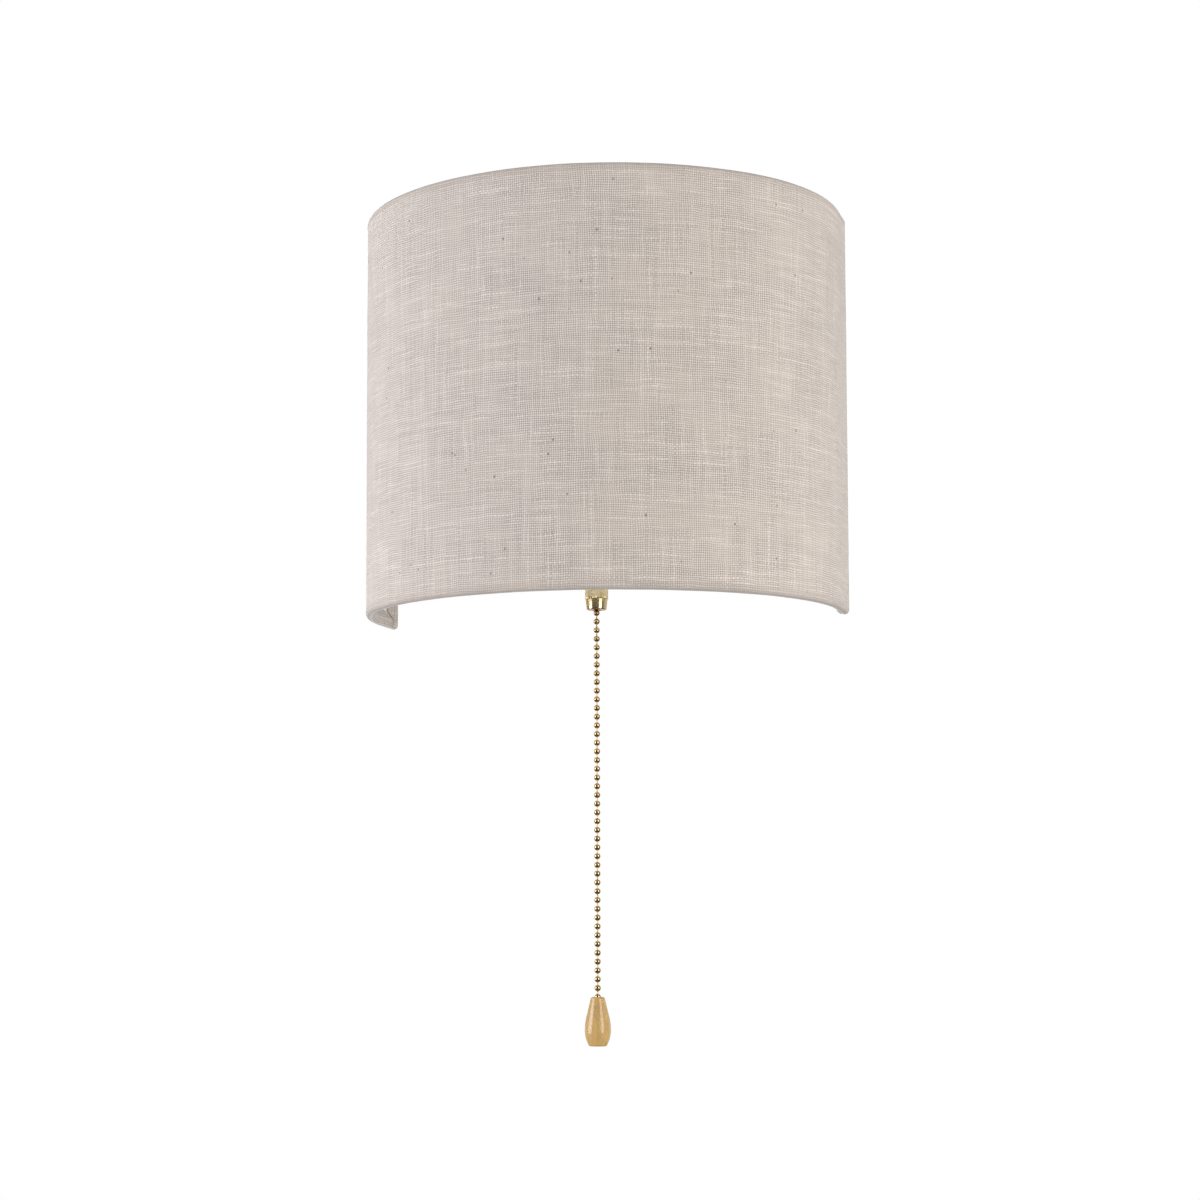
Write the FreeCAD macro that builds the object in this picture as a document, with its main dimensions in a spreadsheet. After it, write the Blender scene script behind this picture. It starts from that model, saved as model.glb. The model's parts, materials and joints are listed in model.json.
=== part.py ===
import FreeCAD, Part

import math
import os
import re

import Sketcher

# Wall light with a fabric half shade and a pull chain.
# Millimetres. The origin is the middle of the mounting plate's back, on the wall.
# +Z is up, +X is to the right as the lamp is faced, and the lamp stands out along -Y.

V = FreeCAD.Vector
doc = FreeCAD.newDocument("fabric_shade_wall_light")
sheet = doc.addObject("Spreadsheet::Sheet", "Sizes")
nodes = []


# ---------------------------------------------------------------- sizes

SIZES = {
    # shade, seen from above: a three-arc bow with short straight returns to the wall
    "shade_width": 250,
    "shade_height": 208,
    "bow_depth": 115,
    "return_depth": 22,
    "shoulder_turn": 45,
    "wall_gap": 0.6,
    "cloth_thickness": 0.7,
    "liner_thickness": 0.5,
    "hem_height": 9,
    "fold_ease": 0.1,
    "frame_wire": 2.6,
    # mounting plate with its shelf and hooks
    "plate_width": 112,
    "plate_height": 120,
    "plate_thickness": 1.5,
    "plate_corner": 8,
    "slot_spacing": 88.9,
    "slot_length": 12,
    "slot_width": 5,
    "cable_hole": 22,
    "shelf_drop": 60.5,
    "shelf_rise": 19.5,
    "shelf_side": 8,
    "shelf_front": 6,
    "shelf_corner": 20,
    "shelf_rib_height": 6,
    "bend_radius": 1.5,
    "hook_spacing": 80,
    "hook_width": 12,
    "hook_lip": 5,
    "hook_drop": 12,
    "hook_ease": 0.3,
    # grommet in the cable hole
    "grommet_lip": 2,
    "grommet_flange": 1.4,
    "grommet_wall": 4.85,
    "grommet_ease": 0.15,
    # terminal block and the earth point
    "block_width": 24,
    "block_height": 14,
    "block_depth": 14,
    "block_rise": 32,
    "pole_spacing": 11,
    "pole_screw": 4,
    "pole_screw_length": 6,
    "pole_screw_sink": 1,
    "pole_slot": 0.8,
    "pole_slot_depth": 1,
    "block_screw": 3,
    "block_screw_head": 5.4,
    "block_head_height": 1.8,
    "earth_offset": 24,
    "earth_height": 24,
    "earth_thread": 4,
    "earth_head": 8,
    "earth_head_height": 2.4,
    "earth_slot": 1.2,
    "earth_slot_depth": 1.2,
    "earth_washer_width": 10,
    "earth_washer_thickness": 0.8,
    "thread_ease": 0.05,
    "cut_margin": 1,
    # pull switch, which hangs from the shelf by its threaded tube
    "chain_reach": 39,
    "can_diameter": 24,
    "can_wall": 0.8,
    "can_floor": 1.2,
    "cover_thickness": 1.5,
    "tube_diameter": 9.5,
    "chain_ease": 0.9,
    "flange_rim": 2.25,
    "flange_thickness": 1.2,
    "switch_washer_rim": 1.75,
    "switch_washer_thickness": 0.6,
    "nut_wall": 1.15,
    "nut_height": 11.2,
    "groove_count": 36,
    "groove_radius": 0.28,
    "bell_wall": 0.6,
    "bell_height": 5.5,
    "bell_mouth_ease": 0.7,
    "bell_floor": 2,
    "bell_round": 1.9,
    "hole_ease": 0.4,
    # its works
    "rod_ease": 0.5,
    "head_rim": 2,
    "head_thickness": 1.5,
    "blade_thickness": 1,
    "blade_overlap": 1.5,
    "spring_wire": 0.6,
    "spring_length": 10.6,
    "spring_gap": 1.4,
    "spring_turns": 6,
    "insulator_height": 11.5,
    "insulator_ease": 0.1,
    "head_gap": 0.5,
    "cavity_ease": 1,
    "blade_room": 1.5,
    "wheel_centre": 5.5,
    "wheel_diameter": 7.2,
    "wheel_width": 8,
    "wheel_teeth": 8,
    "tooth_depth": 0.7,
    "tooth_share": 0.83,
    "wheel_pin": 1.6,
    "pin_bearing": 4,
    "strip_thickness": 0.4,
    "strip_width": 2.4,
    "strip_height": 9,
    "strip_spacing": 5,
    "running_gap": 0.4,
    # ball chain and its wooden knob
    "bead_diameter": 3.2,
    "bead_pitch": 4.456,
    "link_diameter": 0.9,
    "hanging_beads": 44,
    "inner_beads": 3,
    "knob_beads": 2,
    "first_bead_drop": 1.5,
    "swivel_ease": 0.08,
    "knob_diameter": 13.3,
    "knob_height": 24.8,
    "knob_top": 7,
    "knob_neck": 10.7,
    "knob_neck_drop": 8,
    "knob_belly_drop": 16.8,
    "knob_foot": 8.8,
    "knob_belly_radius": 30.4,
    "knob_foot_radius": 15.3,
    "knob_ease": 0.05,
    # lampholder, which stands on the shelf
    "holder_gap": 9,
    "holder_tube": 9.8,
    "holder_tube_bore": 6.8,
    "holder_tube_drop": 9,
    "holder_tube_rise": 8,
    "holder_washer_width": 18,
    "holder_washer_thickness": 0.8,
    "hex_width": 14,
    "hex_height": 3.2,
    "cap_shoulder": 5,
    "cap_height": 14,
    "cap_wall": 1.5,
    "holder_wall": 3.25,
    "holder_height": 48,
    "holder_skirt": 2.5,
    "holder_floor_rise": 9,
    "holder_floor": 5,
    "shell_thickness": 0.3,
    "shell_height": 28,
    "contact_thickness": 0.4,
    "contact_width": 5,
    "contact_reach": 8,
    "contact_lip": 2,
    "contact_drop": 0.8,
    "contact_fold": 0.7,
    "rivet_diameter": 3,
    "holder_screw_head": 4.4,
    "holder_screw_shank": 2.8,
    "holder_screw_rise": 5,
    # leads inside the lamp
    "lead_diameter": 1.8,
    "lead_grip": 3,
    "lead_drop": 11,
    "lead_rise": 12,
    "lead_step": 20,
    "line_gap": 6,
    "neutral_gap": 2,
    "neutral_side_gap": 5,
    "neutral_pass": 4,
    # bulb
    "bulb_rise": 18,
    "bulb_length": 108,
    "globe_diameter": 60,
    "glass_thickness": 0.8,
    "neck_step": 0.3,
    "neck_slope": 35,
    "bulb_cap_diameter": 26.2,
    "bulb_cap_ease": 0.3,
    "bulb_cap_height": 22,
    "bulb_cap_wall": 0.4,
    "bulb_seal_height": 3,
    "bulb_seal_inset": 1,
    "bulb_tip_diameter": 9,
    "bulb_tip_height": 1.2,
}

for row, (alias, number) in enumerate(SIZES.items(), start=1):
    sheet.set(f"A{row}", alias)
    sheet.set(f"B{row}", str(number))
    sheet.setAlias(f"B{row}", alias)
doc.recompute()


def bound(text):
    """The expression with each size's name pointing at its cell of the sheet."""
    return re.sub(r"[a-z][a-z_]+", lambda m: "Sizes." + m[0] if m[0] in SIZES else m[0], str(text))


def value(text):
    """The number that an expression of the sizes comes to now."""
    return float(sheet.evalExpression(str(text)))


def bind(thing, name, text):
    thing.setExpression(name, bound(text))


# Places that several pieces share.
HALF = "(shade_width / 2)"
BOTTOM = "(-shelf_drop - shelf_rise)"
TOP = f"({BOTTOM} + shade_height)"
REAR = "(-wall_gap)"
SIDE_RADIUS = f"((bow_depth - {HALF} * tan(shoulder_turn / 2)) / (1 - tan(shoulder_turn / 2)))"
FRONT_RADIUS = f"({SIDE_RADIUS} + ({HALF} - {SIDE_RADIUS}) / sin(shoulder_turn))"
WIRE_INSET = "(cloth_thickness + liner_thickness + fold_ease + frame_wire / 2)"
FOLD_INSET = "(2 * cloth_thickness + liner_thickness + 2 * fold_ease + frame_wire)"
WIRE_Y = "(-plate_thickness - hook_ease - frame_wire / 2)"
WIRE_END = f"({HALF} - {WIRE_INSET} - frame_wire / 2)"
HANGER_HEIGHT = "(plate_height / 2 - hook_drop)"
SHELF_UNDER = "(-shelf_drop)"
SHELF_TOP = "(-shelf_drop + plate_thickness)"
BLOCK_MIDDLE = f"({SHELF_TOP} + block_rise)"
CHAIN_WAY = "(bead_diameter / 2 + chain_ease)"
PULL_ROD = "(bead_diameter / 2 + chain_ease - rod_ease)"
TUBE = "(tube_diameter / 2)"
TUBE_HOLE = "(tube_diameter / 2 + thread_ease)"
FLANGE_TOP = "(can_floor + flange_thickness)"
SPRING = f"({PULL_ROD} + spring_gap + spring_wire)"
HEAD_FOOT = f"({FLANGE_TOP} + spring_length)"
HEAD_TOP = f"({HEAD_FOOT} + head_thickness)"
INSULATOR_FOOT = f"({HEAD_TOP} + head_gap)"
WHEEL_RISE = f"({INSULATOR_FOOT} + wheel_centre)"
CAN_TOP = f"({INSULATOR_FOOT} + insulator_height)"
PIN_LENGTH = "(wheel_width + 2 * pin_bearing)"
HOLDER_BORE = "(bulb_cap_diameter / 2 + bulb_cap_ease + shell_thickness + thread_ease)"
HOLDER_RADIUS = f"({HOLDER_BORE} + holder_wall)"
CAP_RADIUS = f"({HOLDER_RADIUS} + cap_shoulder)"
LEAD_CIRCLE = f"({HOLDER_RADIUS} + cap_shoulder / 2)"
HOLDER_FLOOR_TOP = "(holder_floor_rise + holder_floor)"
LAMP_REACH = f"(chain_reach + can_diameter / 2 + holder_gap + {CAP_RADIUS})"
SHELF_REACH = f"({LAMP_REACH} + {CAP_RADIUS} + shelf_front)"
SHELF_SIDE = f"({CAP_RADIUS} + shelf_side)"
NUT_FOOT = "(-plate_thickness - switch_washer_thickness - nut_height)"
BELL_FOOT = f"({NUT_FOOT} - bell_height)"
FIRST_BEAD = f"({BELL_FOOT} - first_bead_drop)"
KNOB_TOP = f"({FIRST_BEAD} - hanging_beads * bead_pitch)"
SWITCH = ("0", "-chain_reach", SHELF_TOP)
HOLDER = ("0", f"-{LAMP_REACH}", SHELF_TOP)


# ---------------------------------------------------------------- drawing helpers

def new_body(name, place=("0", "0", "0")):
    """A named sub-part, moved to its place."""
    body = doc.addObject("PartDesign::Body", name)
    body.Label = name
    for axis, text in zip("xyz", place):
        bind(body, "Placement.Base." + axis, text)
    nodes.append(body)
    return body


def origin(body, role):
    return next(item for item in body.Origin.OriginFeatures if item.Role == role)


def new_sketch(body, plane, lift="0"):
    sketch = body.newObject("Sketcher::SketchObject", body.Label + "_sketch")
    sketch.AttachmentSupport = [(origin(body, plane + "_Plane"), "")]
    sketch.MapMode = "FlatFace"
    bind(sketch, "AttachmentOffset.Base.z", lift)
    return sketch


def fix_point(sketch, index, point, x, y):
    """Hold one point of the drawing at x, y, both bound to the sheet."""
    for kind, text in (("DistanceX", x), ("DistanceY", y)):
        number = sketch.addConstraint(Sketcher.Constraint(kind, index, point, value(text)))
        sketch.setExpression(f"Constraints[{number}]", bound(text))


def arc_between(start, end, radius, side):
    """The short arc from start to end; side 1 has its centre left of the way there, -1 right."""
    chord = end - start
    left = V(-chord.y, chord.x, 0).normalize() * side
    reach = math.sqrt(max(radius ** 2 - (chord.Length / 2) ** 2, 0))
    crown = start + chord / 2 + left * (reach - radius)
    if side == 1:
        return Part.Arc(start, crown, end)
    return Part.Arc(end, crown, start)


def outline(sketch, corners, closed=True):
    """Lines and arcs from corner to corner. A corner is (x, y), or (x, y, radius, side)
    where the edge that leaves it is an arc. Every number is an expression."""
    spots = [V(value(corner[0]), value(corner[1]), 0) for corner in corners]
    count = len(corners) if closed else len(corners) - 1
    first = sketch.GeometryCount
    for step in range(count):
        start = spots[step]
        end = spots[(step + 1) % len(spots)]
        corner = corners[step]
        if len(corner) == 2:
            edge = Part.LineSegment(start, end)
        else:
            edge = arc_between(start, end, value(corner[2]), corner[3])
        sketch.addGeometry(edge, False)

    def point_at(index, spot):
        edge = sketch.Geometry[index]
        return 1 if edge.StartPoint.distanceToPoint(spot) < edge.EndPoint.distanceToPoint(spot) else 2

    for step in range(count):
        index = first + step
        corner = corners[step]
        start_point = point_at(index, spots[step])
        fix_point(sketch, index, start_point, corner[0], corner[1])
        if len(corner) == 4:
            number = sketch.addConstraint(Sketcher.Constraint("Radius", index, value(corner[2])))
            sketch.setExpression(f"Constraints[{number}]", bound(corner[2]))
        after = first + (step + 1) % count
        end = spots[(step + 1) % len(spots)]
        if closed or step < count - 1:
            ends = (index, point_at(index, end), after, point_at(after, end))
            sketch.addConstraint(Sketcher.Constraint("Coincident", *ends))
        else:
            fix_point(sketch, index, point_at(index, end), corners[-1][0], corners[-1][1])
    if sketch.solve() != 0:
        raise RuntimeError(f"{sketch.Label} has no solution")


def circle(sketch, x, y, radius):
    spot = V(value(x), value(y), 0)
    index = sketch.addGeometry(Part.Circle(spot, V(0, 0, 1), value(radius)), False)
    fix_point(sketch, index, 3, x, y)
    number = sketch.addConstraint(Sketcher.Constraint("Radius", index, value(radius)))
    sketch.setExpression(f"Constraints[{number}]", bound(radius))


def rectangle(sketch, left, right, low, high):
    outline(sketch, [(left, low), (right, low), (right, high), (left, high)])


def finish_feature(body, feature):
    body.Tip = feature
    doc.recompute()
    if not feature.isValid():
        raise RuntimeError(f"{body.Label}: {feature.Name} failed")
    return feature


def pad(body, sketch, length, middle=False, backward=False):
    feature = body.newObject("PartDesign::Pad", "Pad")
    feature.Profile = sketch
    bind(feature, "Length", length)
    feature.Midplane = middle
    feature.Reversed = backward
    return finish_feature(body, feature)


def cut_through(body, sketch):
    """Cut the sketch right through, both ways, and make sure that it cut something."""
    before = body.Shape.Volume
    feature = body.newObject("PartDesign::Pocket", "Pocket")
    feature.Profile = sketch
    feature.Type = 1
    feature.Midplane = True
    finish_feature(body, feature)
    if body.Shape.Volume > before - 1e-6:
        raise RuntimeError(f"{body.Label}: {feature.Name} cuts nothing")
    return feature


def turned(body, corners):
    """A turned piece: the outline gives radius and height, and turns about the upright axis."""
    sketch = new_sketch(body, "XZ")
    outline(sketch, corners)
    feature = body.newObject("PartDesign::Revolution", "Turned")
    feature.Profile = sketch
    feature.ReferenceAxis = (sketch, ["V_Axis"])
    feature.Angle = 360
    return finish_feature(body, feature)


def ring(body, inner, outer, low, high):
    """A plain turned ring, or a disc where inner is 0."""
    return turned(body, [(inner, low), (outer, low), (outer, high), (inner, high)])


def repeat_down(body, feature, count, pitch):
    """Copies of a feature, one below the other."""
    if round(value(count)) < 2:
        return feature
    pattern = body.newObject("PartDesign::LinearPattern", "Row")
    pattern.Originals = [feature]
    pattern.Direction = (origin(body, "Z_Axis"), [""])
    pattern.Reversed = True
    bind(pattern, "Length", f"({count} - 1) * {pitch}")
    bind(pattern, "Occurrences", count)
    return finish_feature(body, pattern)


def piped(body, spine, section):
    feature = body.newObject("PartDesign::AdditivePipe", "Pipe")
    feature.Profile = section
    feature.Spine = spine
    return finish_feature(body, feature)


def free_form(name, shape):
    """A sub-part whose shape is worked out here from the sheet's sizes."""
    feature = doc.addObject("Part::Feature", name)
    feature.Label = name
    feature.Shape = shape
    nodes.append(feature)
    return feature


# ---------------------------------------------------------------- shade

def arch(inset, rear, turn=1):
    """Half of a band's outline: from the right rear end, round the front, to the left one.
    Every arc keeps its centre, so bands at different insets lie evenly inside each other."""
    side = f"({SIDE_RADIUS} - {inset})"
    front = f"({FRONT_RADIUS} - {inset})"
    edge = f"({HALF} - {inset})"
    shoulder_x = f"({HALF} - {SIDE_RADIUS} + {side} * sin(shoulder_turn))"
    shoulder_y = f"(-return_depth - {side} * cos(shoulder_turn))"
    path = [
        (edge, rear),
        (edge, "-return_depth", side, -1),
        (shoulder_x, shoulder_y, front, -1),
        (f"-{shoulder_x}", shoulder_y, side, -1),
        (f"-{edge}", "-return_depth"),
        (f"-{edge}", rear),
    ]
    if turn == 1:
        return path
    # The same way back: each arc now leaves the corner that it used to reach.
    return [
        (f"-{edge}", rear),
        (f"-{edge}", "-return_depth", side, 1),
        (f"-{shoulder_x}", shoulder_y, front, 1),
        (shoulder_x, shoulder_y, side, 1),
        (edge, "-return_depth"),
        (edge, rear),
    ]


def band(body, outer, inner, low, height, rear=REAR):
    """An upright band of the shade's plan between two insets."""
    sketch = new_sketch(body, "XY", low)
    outline(sketch, arch(outer, rear) + arch(inner, rear, turn=-1))
    return pad(body, sketch, height)


def shade_cloth():
    """Linen over the outside, turned in over the top and bottom wires."""
    body = new_body("shade_cloth")
    fold_rear = f"({WIRE_Y} - frame_wire / 2 - hook_ease)"
    band(body, "0", "cloth_thickness", BOTTOM, "shade_height")
    band(body, "0", FOLD_INSET, BOTTOM, "cloth_thickness", fold_rear)
    band(body, "0", FOLD_INSET, f"{TOP} - cloth_thickness", "cloth_thickness", fold_rear)
    flap = f"({FOLD_INSET} - cloth_thickness)"
    band(body, flap, FOLD_INSET, BOTTOM, "hem_height", fold_rear)
    band(body, flap, FOLD_INSET, f"{TOP} - hem_height", "hem_height", fold_rear)


def shade_liner():
    """The stiff sheet that the linen is laminated to."""
    body = new_body("shade_liner")
    inner = "(cloth_thickness + liner_thickness)"
    height = "shade_height - 2 * cloth_thickness"
    band(body, "cloth_thickness", inner, f"{BOTTOM} + cloth_thickness", height)


def bow_wire(name, height):
    """A wire along the inside of the shade's edge, as far as the wall on both sides."""
    body = new_body(name)
    spine = new_sketch(body, "XY", height)
    rear = f"({WIRE_Y} + frame_wire / 2)"
    outline(spine, arch(WIRE_INSET, rear), closed=False)
    section = new_sketch(body, "XZ", f"-{rear}")
    circle(section, f"{HALF} - {WIRE_INSET}", height, "frame_wire / 2")
    doc.recompute()
    piped(body, spine, section)


EDGE_WIRE_INSET = "(cloth_thickness + fold_ease + frame_wire / 2)"
TOP_WIRE = f"({TOP} - {EDGE_WIRE_INSET})"
BOTTOM_WIRE = f"({BOTTOM} + {EDGE_WIRE_INSET})"


def frame_uprights():
    """The two upright wires at the rear edges, welded between the bow wires."""
    body = new_body("frame_uprights")
    foot = f"({BOTTOM_WIRE} + frame_wire / 2)"
    sketch = new_sketch(body, "XY", foot)
    for side in ("", "-"):
        circle(sketch, f"{side}({HALF} - {WIRE_INSET})", WIRE_Y, "frame_wire / 2")
    pad(body, sketch, f"{TOP_WIRE} - frame_wire / 2 - {foot}")


def cross_wire(name, height):
    """A straight wire across the back."""
    body = new_body(name)
    sketch = new_sketch(body, "YZ")
    circle(sketch, WIRE_Y, height, "frame_wire / 2")
    pad(body, sketch, f"2 * {WIRE_END}", middle=True)


# ---------------------------------------------------------------- mounting plate

def wall_plate():
    """Pressed steel plate, with a shelf bent forward at the bottom and two hooks."""
    body = new_body("wall_plate")
    half = "plate_width / 2"
    foot = "(-plate_height / 2 + 2 * plate_corner)"
    top = "plate_height / 2"
    right = f"({half})"
    corner = "plate_corner"
    sketch = new_sketch(body, "XZ")
    outline(sketch, [
        (f"-{right} + {corner}", foot),
        (f"{right} - {corner}", foot, corner, 1),
        (right, f"{foot} + {corner}"),
        (right, f"{top} - {corner}", corner, 1),
        (f"{right} - {corner}", top),
        (f"-{right} + {corner}", top, corner, 1),
        (f"-{right}", f"{top} - {corner}"),
        (f"-{right}", f"{foot} + {corner}", corner, 1),
    ])
    pad(body, sketch, "plate_thickness")

    # The shelf and its bend, as one L drawn from the side.
    outer_bend = "(bend_radius + plate_thickness)"
    bend = new_sketch(body, "YZ")
    outline(bend, [
        ("0", foot + " + plate_corner"),
        ("0", f"{SHELF_UNDER} + {outer_bend}", outer_bend, -1),
        (f"-{outer_bend}", SHELF_UNDER),
        (f"-{SHELF_REACH}", SHELF_UNDER),
        (f"-{SHELF_REACH}", SHELF_TOP),
        (f"-{outer_bend}", SHELF_TOP, "bend_radius", 1),
        ("-plate_thickness", f"{SHELF_TOP} + bend_radius"),
        ("-plate_thickness", foot + " + plate_corner"),
    ])
    pad(body, bend, f"2 * {SHELF_SIDE}", middle=True)

    # Ribs turned up along the shelf's sides.
    ribs = new_sketch(body, "YZ")
    outline(ribs, [
        ("-plate_thickness / 2", SHELF_UNDER + " + bend_radius + plate_thickness"),
        (f"-{outer_bend}", SHELF_UNDER),
        (f"-{SHELF_REACH} + shelf_corner", SHELF_UNDER),
        (f"-{SHELF_REACH} + shelf_corner + shelf_rib_height", SHELF_TOP + " + shelf_rib_height"),
        ("-plate_thickness / 2", SHELF_TOP + " + shelf_rib_height"),
    ])
    pad(body, ribs, f"2 * {SHELF_SIDE}", middle=True)
    between = new_sketch(body, "XY", SHELF_TOP)
    inner = f"({SHELF_SIDE} - plate_thickness)"
    rectangle(between, f"-{inner}", inner, f"-{SHELF_REACH} - cut_margin", f"-{outer_bend}")
    hollow = body.newObject("PartDesign::Pocket", "ShelfHollow")
    hollow.Profile = between
    hollow.Reversed = True
    bind(hollow, "Length", "2 * shelf_rib_height")
    finish_feature(body, hollow)

    # The shelf's front corners are cut round.
    corner_cut = new_sketch(body, "XY")
    edge = SHELF_SIDE
    for side, way in (("", 1), ("-", -1)):
        outline(corner_cut, [
            (f"{side}{edge}", f"-{SHELF_REACH} + shelf_corner", "shelf_corner", -way),
            (f"{side}({edge} - shelf_corner)", f"-{SHELF_REACH}"),
            (f"{side}({edge} - shelf_corner)", f"-{SHELF_REACH} - cut_margin"),
            (f"{side}({edge} + cut_margin)", f"-{SHELF_REACH} - cut_margin"),
            (f"{side}({edge} + cut_margin)", f"-{SHELF_REACH} + shelf_corner"),
        ])
    cut_through(body, corner_cut)

    # Hooks for the shade's cross wire.
    seat = f"({HANGER_HEIGHT} - frame_wire / 2)"
    lip_back = "(-plate_thickness - 2 * hook_ease - frame_wire)"
    hook = new_sketch(body, "YZ")
    outline(hook, [
        ("-plate_thickness / 2", f"{seat} - plate_thickness"),
        (f"{lip_back} - plate_thickness", f"{seat} - plate_thickness"),
        (f"{lip_back} - plate_thickness", f"{seat} + hook_lip"),
        (lip_back, f"{seat} + hook_lip"),
        (lip_back, seat),
        ("-plate_thickness / 2", seat),
    ])
    pad(body, hook, "hook_spacing + hook_width", middle=True)
    gap = new_sketch(body, "XZ", "plate_thickness")
    inside = "((hook_spacing - hook_width) / 2)"
    rectangle(gap, f"-{inside}", inside, f"{seat} - 2 * plate_thickness", f"{seat} + 2 * hook_lip")
    parting = body.newObject("PartDesign::Pocket", "HookParting")
    parting.Profile = gap
    parting.Reversed = True
    bind(parting, "Length", "4 * frame_wire + 4 * plate_thickness")
    finish_feature(body, parting)

    # Holes in the plate: two slots for the wall screws, the cable, and the small screws.
    holes = new_sketch(body, "XZ")
    for side, way in (("", 1), ("-", -1)):
        near = f"{side}((slot_spacing - slot_length + slot_width) / 2)"
        far = f"{side}((slot_spacing + slot_length - slot_width) / 2)"
        tip = f"{side}((slot_spacing + slot_length) / 2)"
        heel = f"{side}((slot_spacing - slot_length) / 2)"
        half_slot = "(slot_width / 2)"
        outline(holes, [
            (near, f"-{half_slot}"),
            (far, f"-{half_slot}", half_slot, way),
            (tip, "0", half_slot, way),
            (far, half_slot),
            (near, half_slot, half_slot, way),
            (heel, "0", half_slot, way),
        ])
    circle(holes, "0", "0", "cable_hole / 2")
    circle(holes, "0", BLOCK_MIDDLE, "block_screw / 2 + thread_ease")
    circle(holes, "earth_offset", "earth_height", "earth_thread / 2 + thread_ease")
    cut_through(body, holes)

    # Holes in the shelf: the pull switch and the lampholder.
    shelf_holes = new_sketch(body, "XY")
    circle(shelf_holes, "0", "-chain_reach", "(tube_diameter + hole_ease) / 2")
    circle(shelf_holes, "0", f"-{LAMP_REACH}", "(holder_tube + hole_ease) / 2")
    cut_through(body, shelf_holes)


def cable_grommet():
    """Rubber ring that lines the cable hole, with a lip before the plate."""
    body = new_body("cable_grommet")
    seat = "(cable_hole / 2 - grommet_ease)"
    bore = f"({seat} - grommet_wall)"
    rim = "(cable_hole / 2 + grommet_lip)"
    front = "(-plate_thickness - grommet_flange)"
    sketch = new_sketch(body, "YZ")
    outline(sketch, [
        ("-grommet_ease", bore),
        ("-grommet_ease", seat),
        ("-plate_thickness", seat),
        ("-plate_thickness", rim),
        (front, rim),
        (front, bore),
    ])
    feature = body.newObject("PartDesign::Revolution", "Turned")
    feature.Profile = sketch
    feature.ReferenceAxis = (sketch, ["H_Axis"])
    feature.Angle = 360
    finish_feature(body, feature)


BLOCK_FRONT = "(-plate_thickness - block_depth)"
BLOCK_LOW = f"({BLOCK_MIDDLE} - block_height / 2)"
LEAD_Y = "(-plate_thickness - block_depth / 2 + lead_diameter)"


def terminal_block():
    """Two-pole block where the supply meets the lamp's own leads."""
    body = new_body("terminal_block")
    plan = new_sketch(body, "XY", BLOCK_LOW)
    rectangle(plan, "-block_width / 2", "block_width / 2", BLOCK_FRONT, "-plate_thickness")
    pad(body, plan, "block_height")
    wells = new_sketch(body, "XZ", f"-{BLOCK_FRONT}")
    for side in ("", "-"):
        circle(wells, f"{side}pole_spacing / 2", BLOCK_MIDDLE, "pole_screw / 2 + hole_ease")
    well = body.newObject("PartDesign::Pocket", "ScrewWells")
    well.Profile = wells
    bind(well, "Length", "pole_screw_length + pole_screw_sink")
    finish_feature(body, well)
    ways = new_sketch(body, "XY")
    for side in ("", "-"):
        circle(ways, f"{side}pole_spacing / 2", LEAD_Y, "lead_diameter / 2 + hole_ease / 2")
    cut_through(body, ways)
    fixing = new_sketch(body, "XZ")
    circle(fixing, "0", BLOCK_MIDDLE, "block_screw / 2 + hole_ease / 2")
    cut_through(body, fixing)


def terminal_screws():
    """Grub screws that clamp the leads."""
    body = new_body("terminal_screws")
    sketch = new_sketch(body, "XZ", f"-{BLOCK_FRONT} - pole_screw_length - pole_screw_sink")
    for side in ("", "-"):
        circle(sketch, f"{side}pole_spacing / 2", BLOCK_MIDDLE, "pole_screw / 2")
    pad(body, sketch, "pole_screw_length")
    slots = new_sketch(body, "XZ", f"-{BLOCK_FRONT} - pole_screw_sink")
    half_slot = "(pole_slot / 2)"
    for side in (1, -1):
        middle = f"{side} * pole_spacing / 2"
        rectangle(slots, f"{middle} - pole_screw", f"{middle} + pole_screw",
                  f"{BLOCK_MIDDLE} - {half_slot}", f"{BLOCK_MIDDLE} + {half_slot}")
    slot = body.newObject("PartDesign::Pocket", "DriverSlots")
    slot.Profile = slots
    bind(slot, "Length", "pole_slot_depth")
    finish_feature(body, slot)


def block_screw():
    """Pan-head screw through the block into the plate."""
    body = new_body("block_screw")
    shank = new_sketch(body, "XZ")
    circle(shank, "0", BLOCK_MIDDLE, "block_screw / 2")
    pad(body, shank, f"-{BLOCK_FRONT}")
    head = new_sketch(body, "XZ", f"-{BLOCK_FRONT}")
    circle(head, "0", BLOCK_MIDDLE, "block_screw_head / 2")
    pad(body, head, "block_head_height")


def earth_screw():
    """Screw for the supply's earth wire."""
    body = new_body("earth_screw")
    shank = new_sketch(body, "XZ")
    circle(shank, "earth_offset", "earth_height", "earth_thread / 2")
    seat = "(plate_thickness + earth_washer_thickness)"
    pad(body, shank, seat)
    head = new_sketch(body, "XZ", seat)
    circle(head, "earth_offset", "earth_height", "earth_head / 2")
    pad(body, head, "earth_head_height")
    slot = new_sketch(body, "XZ", f"{seat} + earth_head_height")
    rectangle(slot, "earth_offset - earth_head", "earth_offset + earth_head",
              "earth_height - earth_slot / 2", "earth_height + earth_slot / 2")
    groove = body.newObject("PartDesign::Pocket", "DriverSlot")
    groove.Profile = slot
    bind(groove, "Length", "earth_slot_depth")
    finish_feature(body, groove)


def earth_washer():
    """Cup washer under the earth screw's head."""
    body = new_body("earth_washer")
    sketch = new_sketch(body, "XZ", "plate_thickness")
    circle(sketch, "earth_offset", "earth_height", "earth_washer_width / 2")
    circle(sketch, "earth_offset", "earth_height", "earth_thread / 2 + thread_ease")
    pad(body, sketch, "earth_washer_thickness")


# ---------------------------------------------------------------- pull switch

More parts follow.
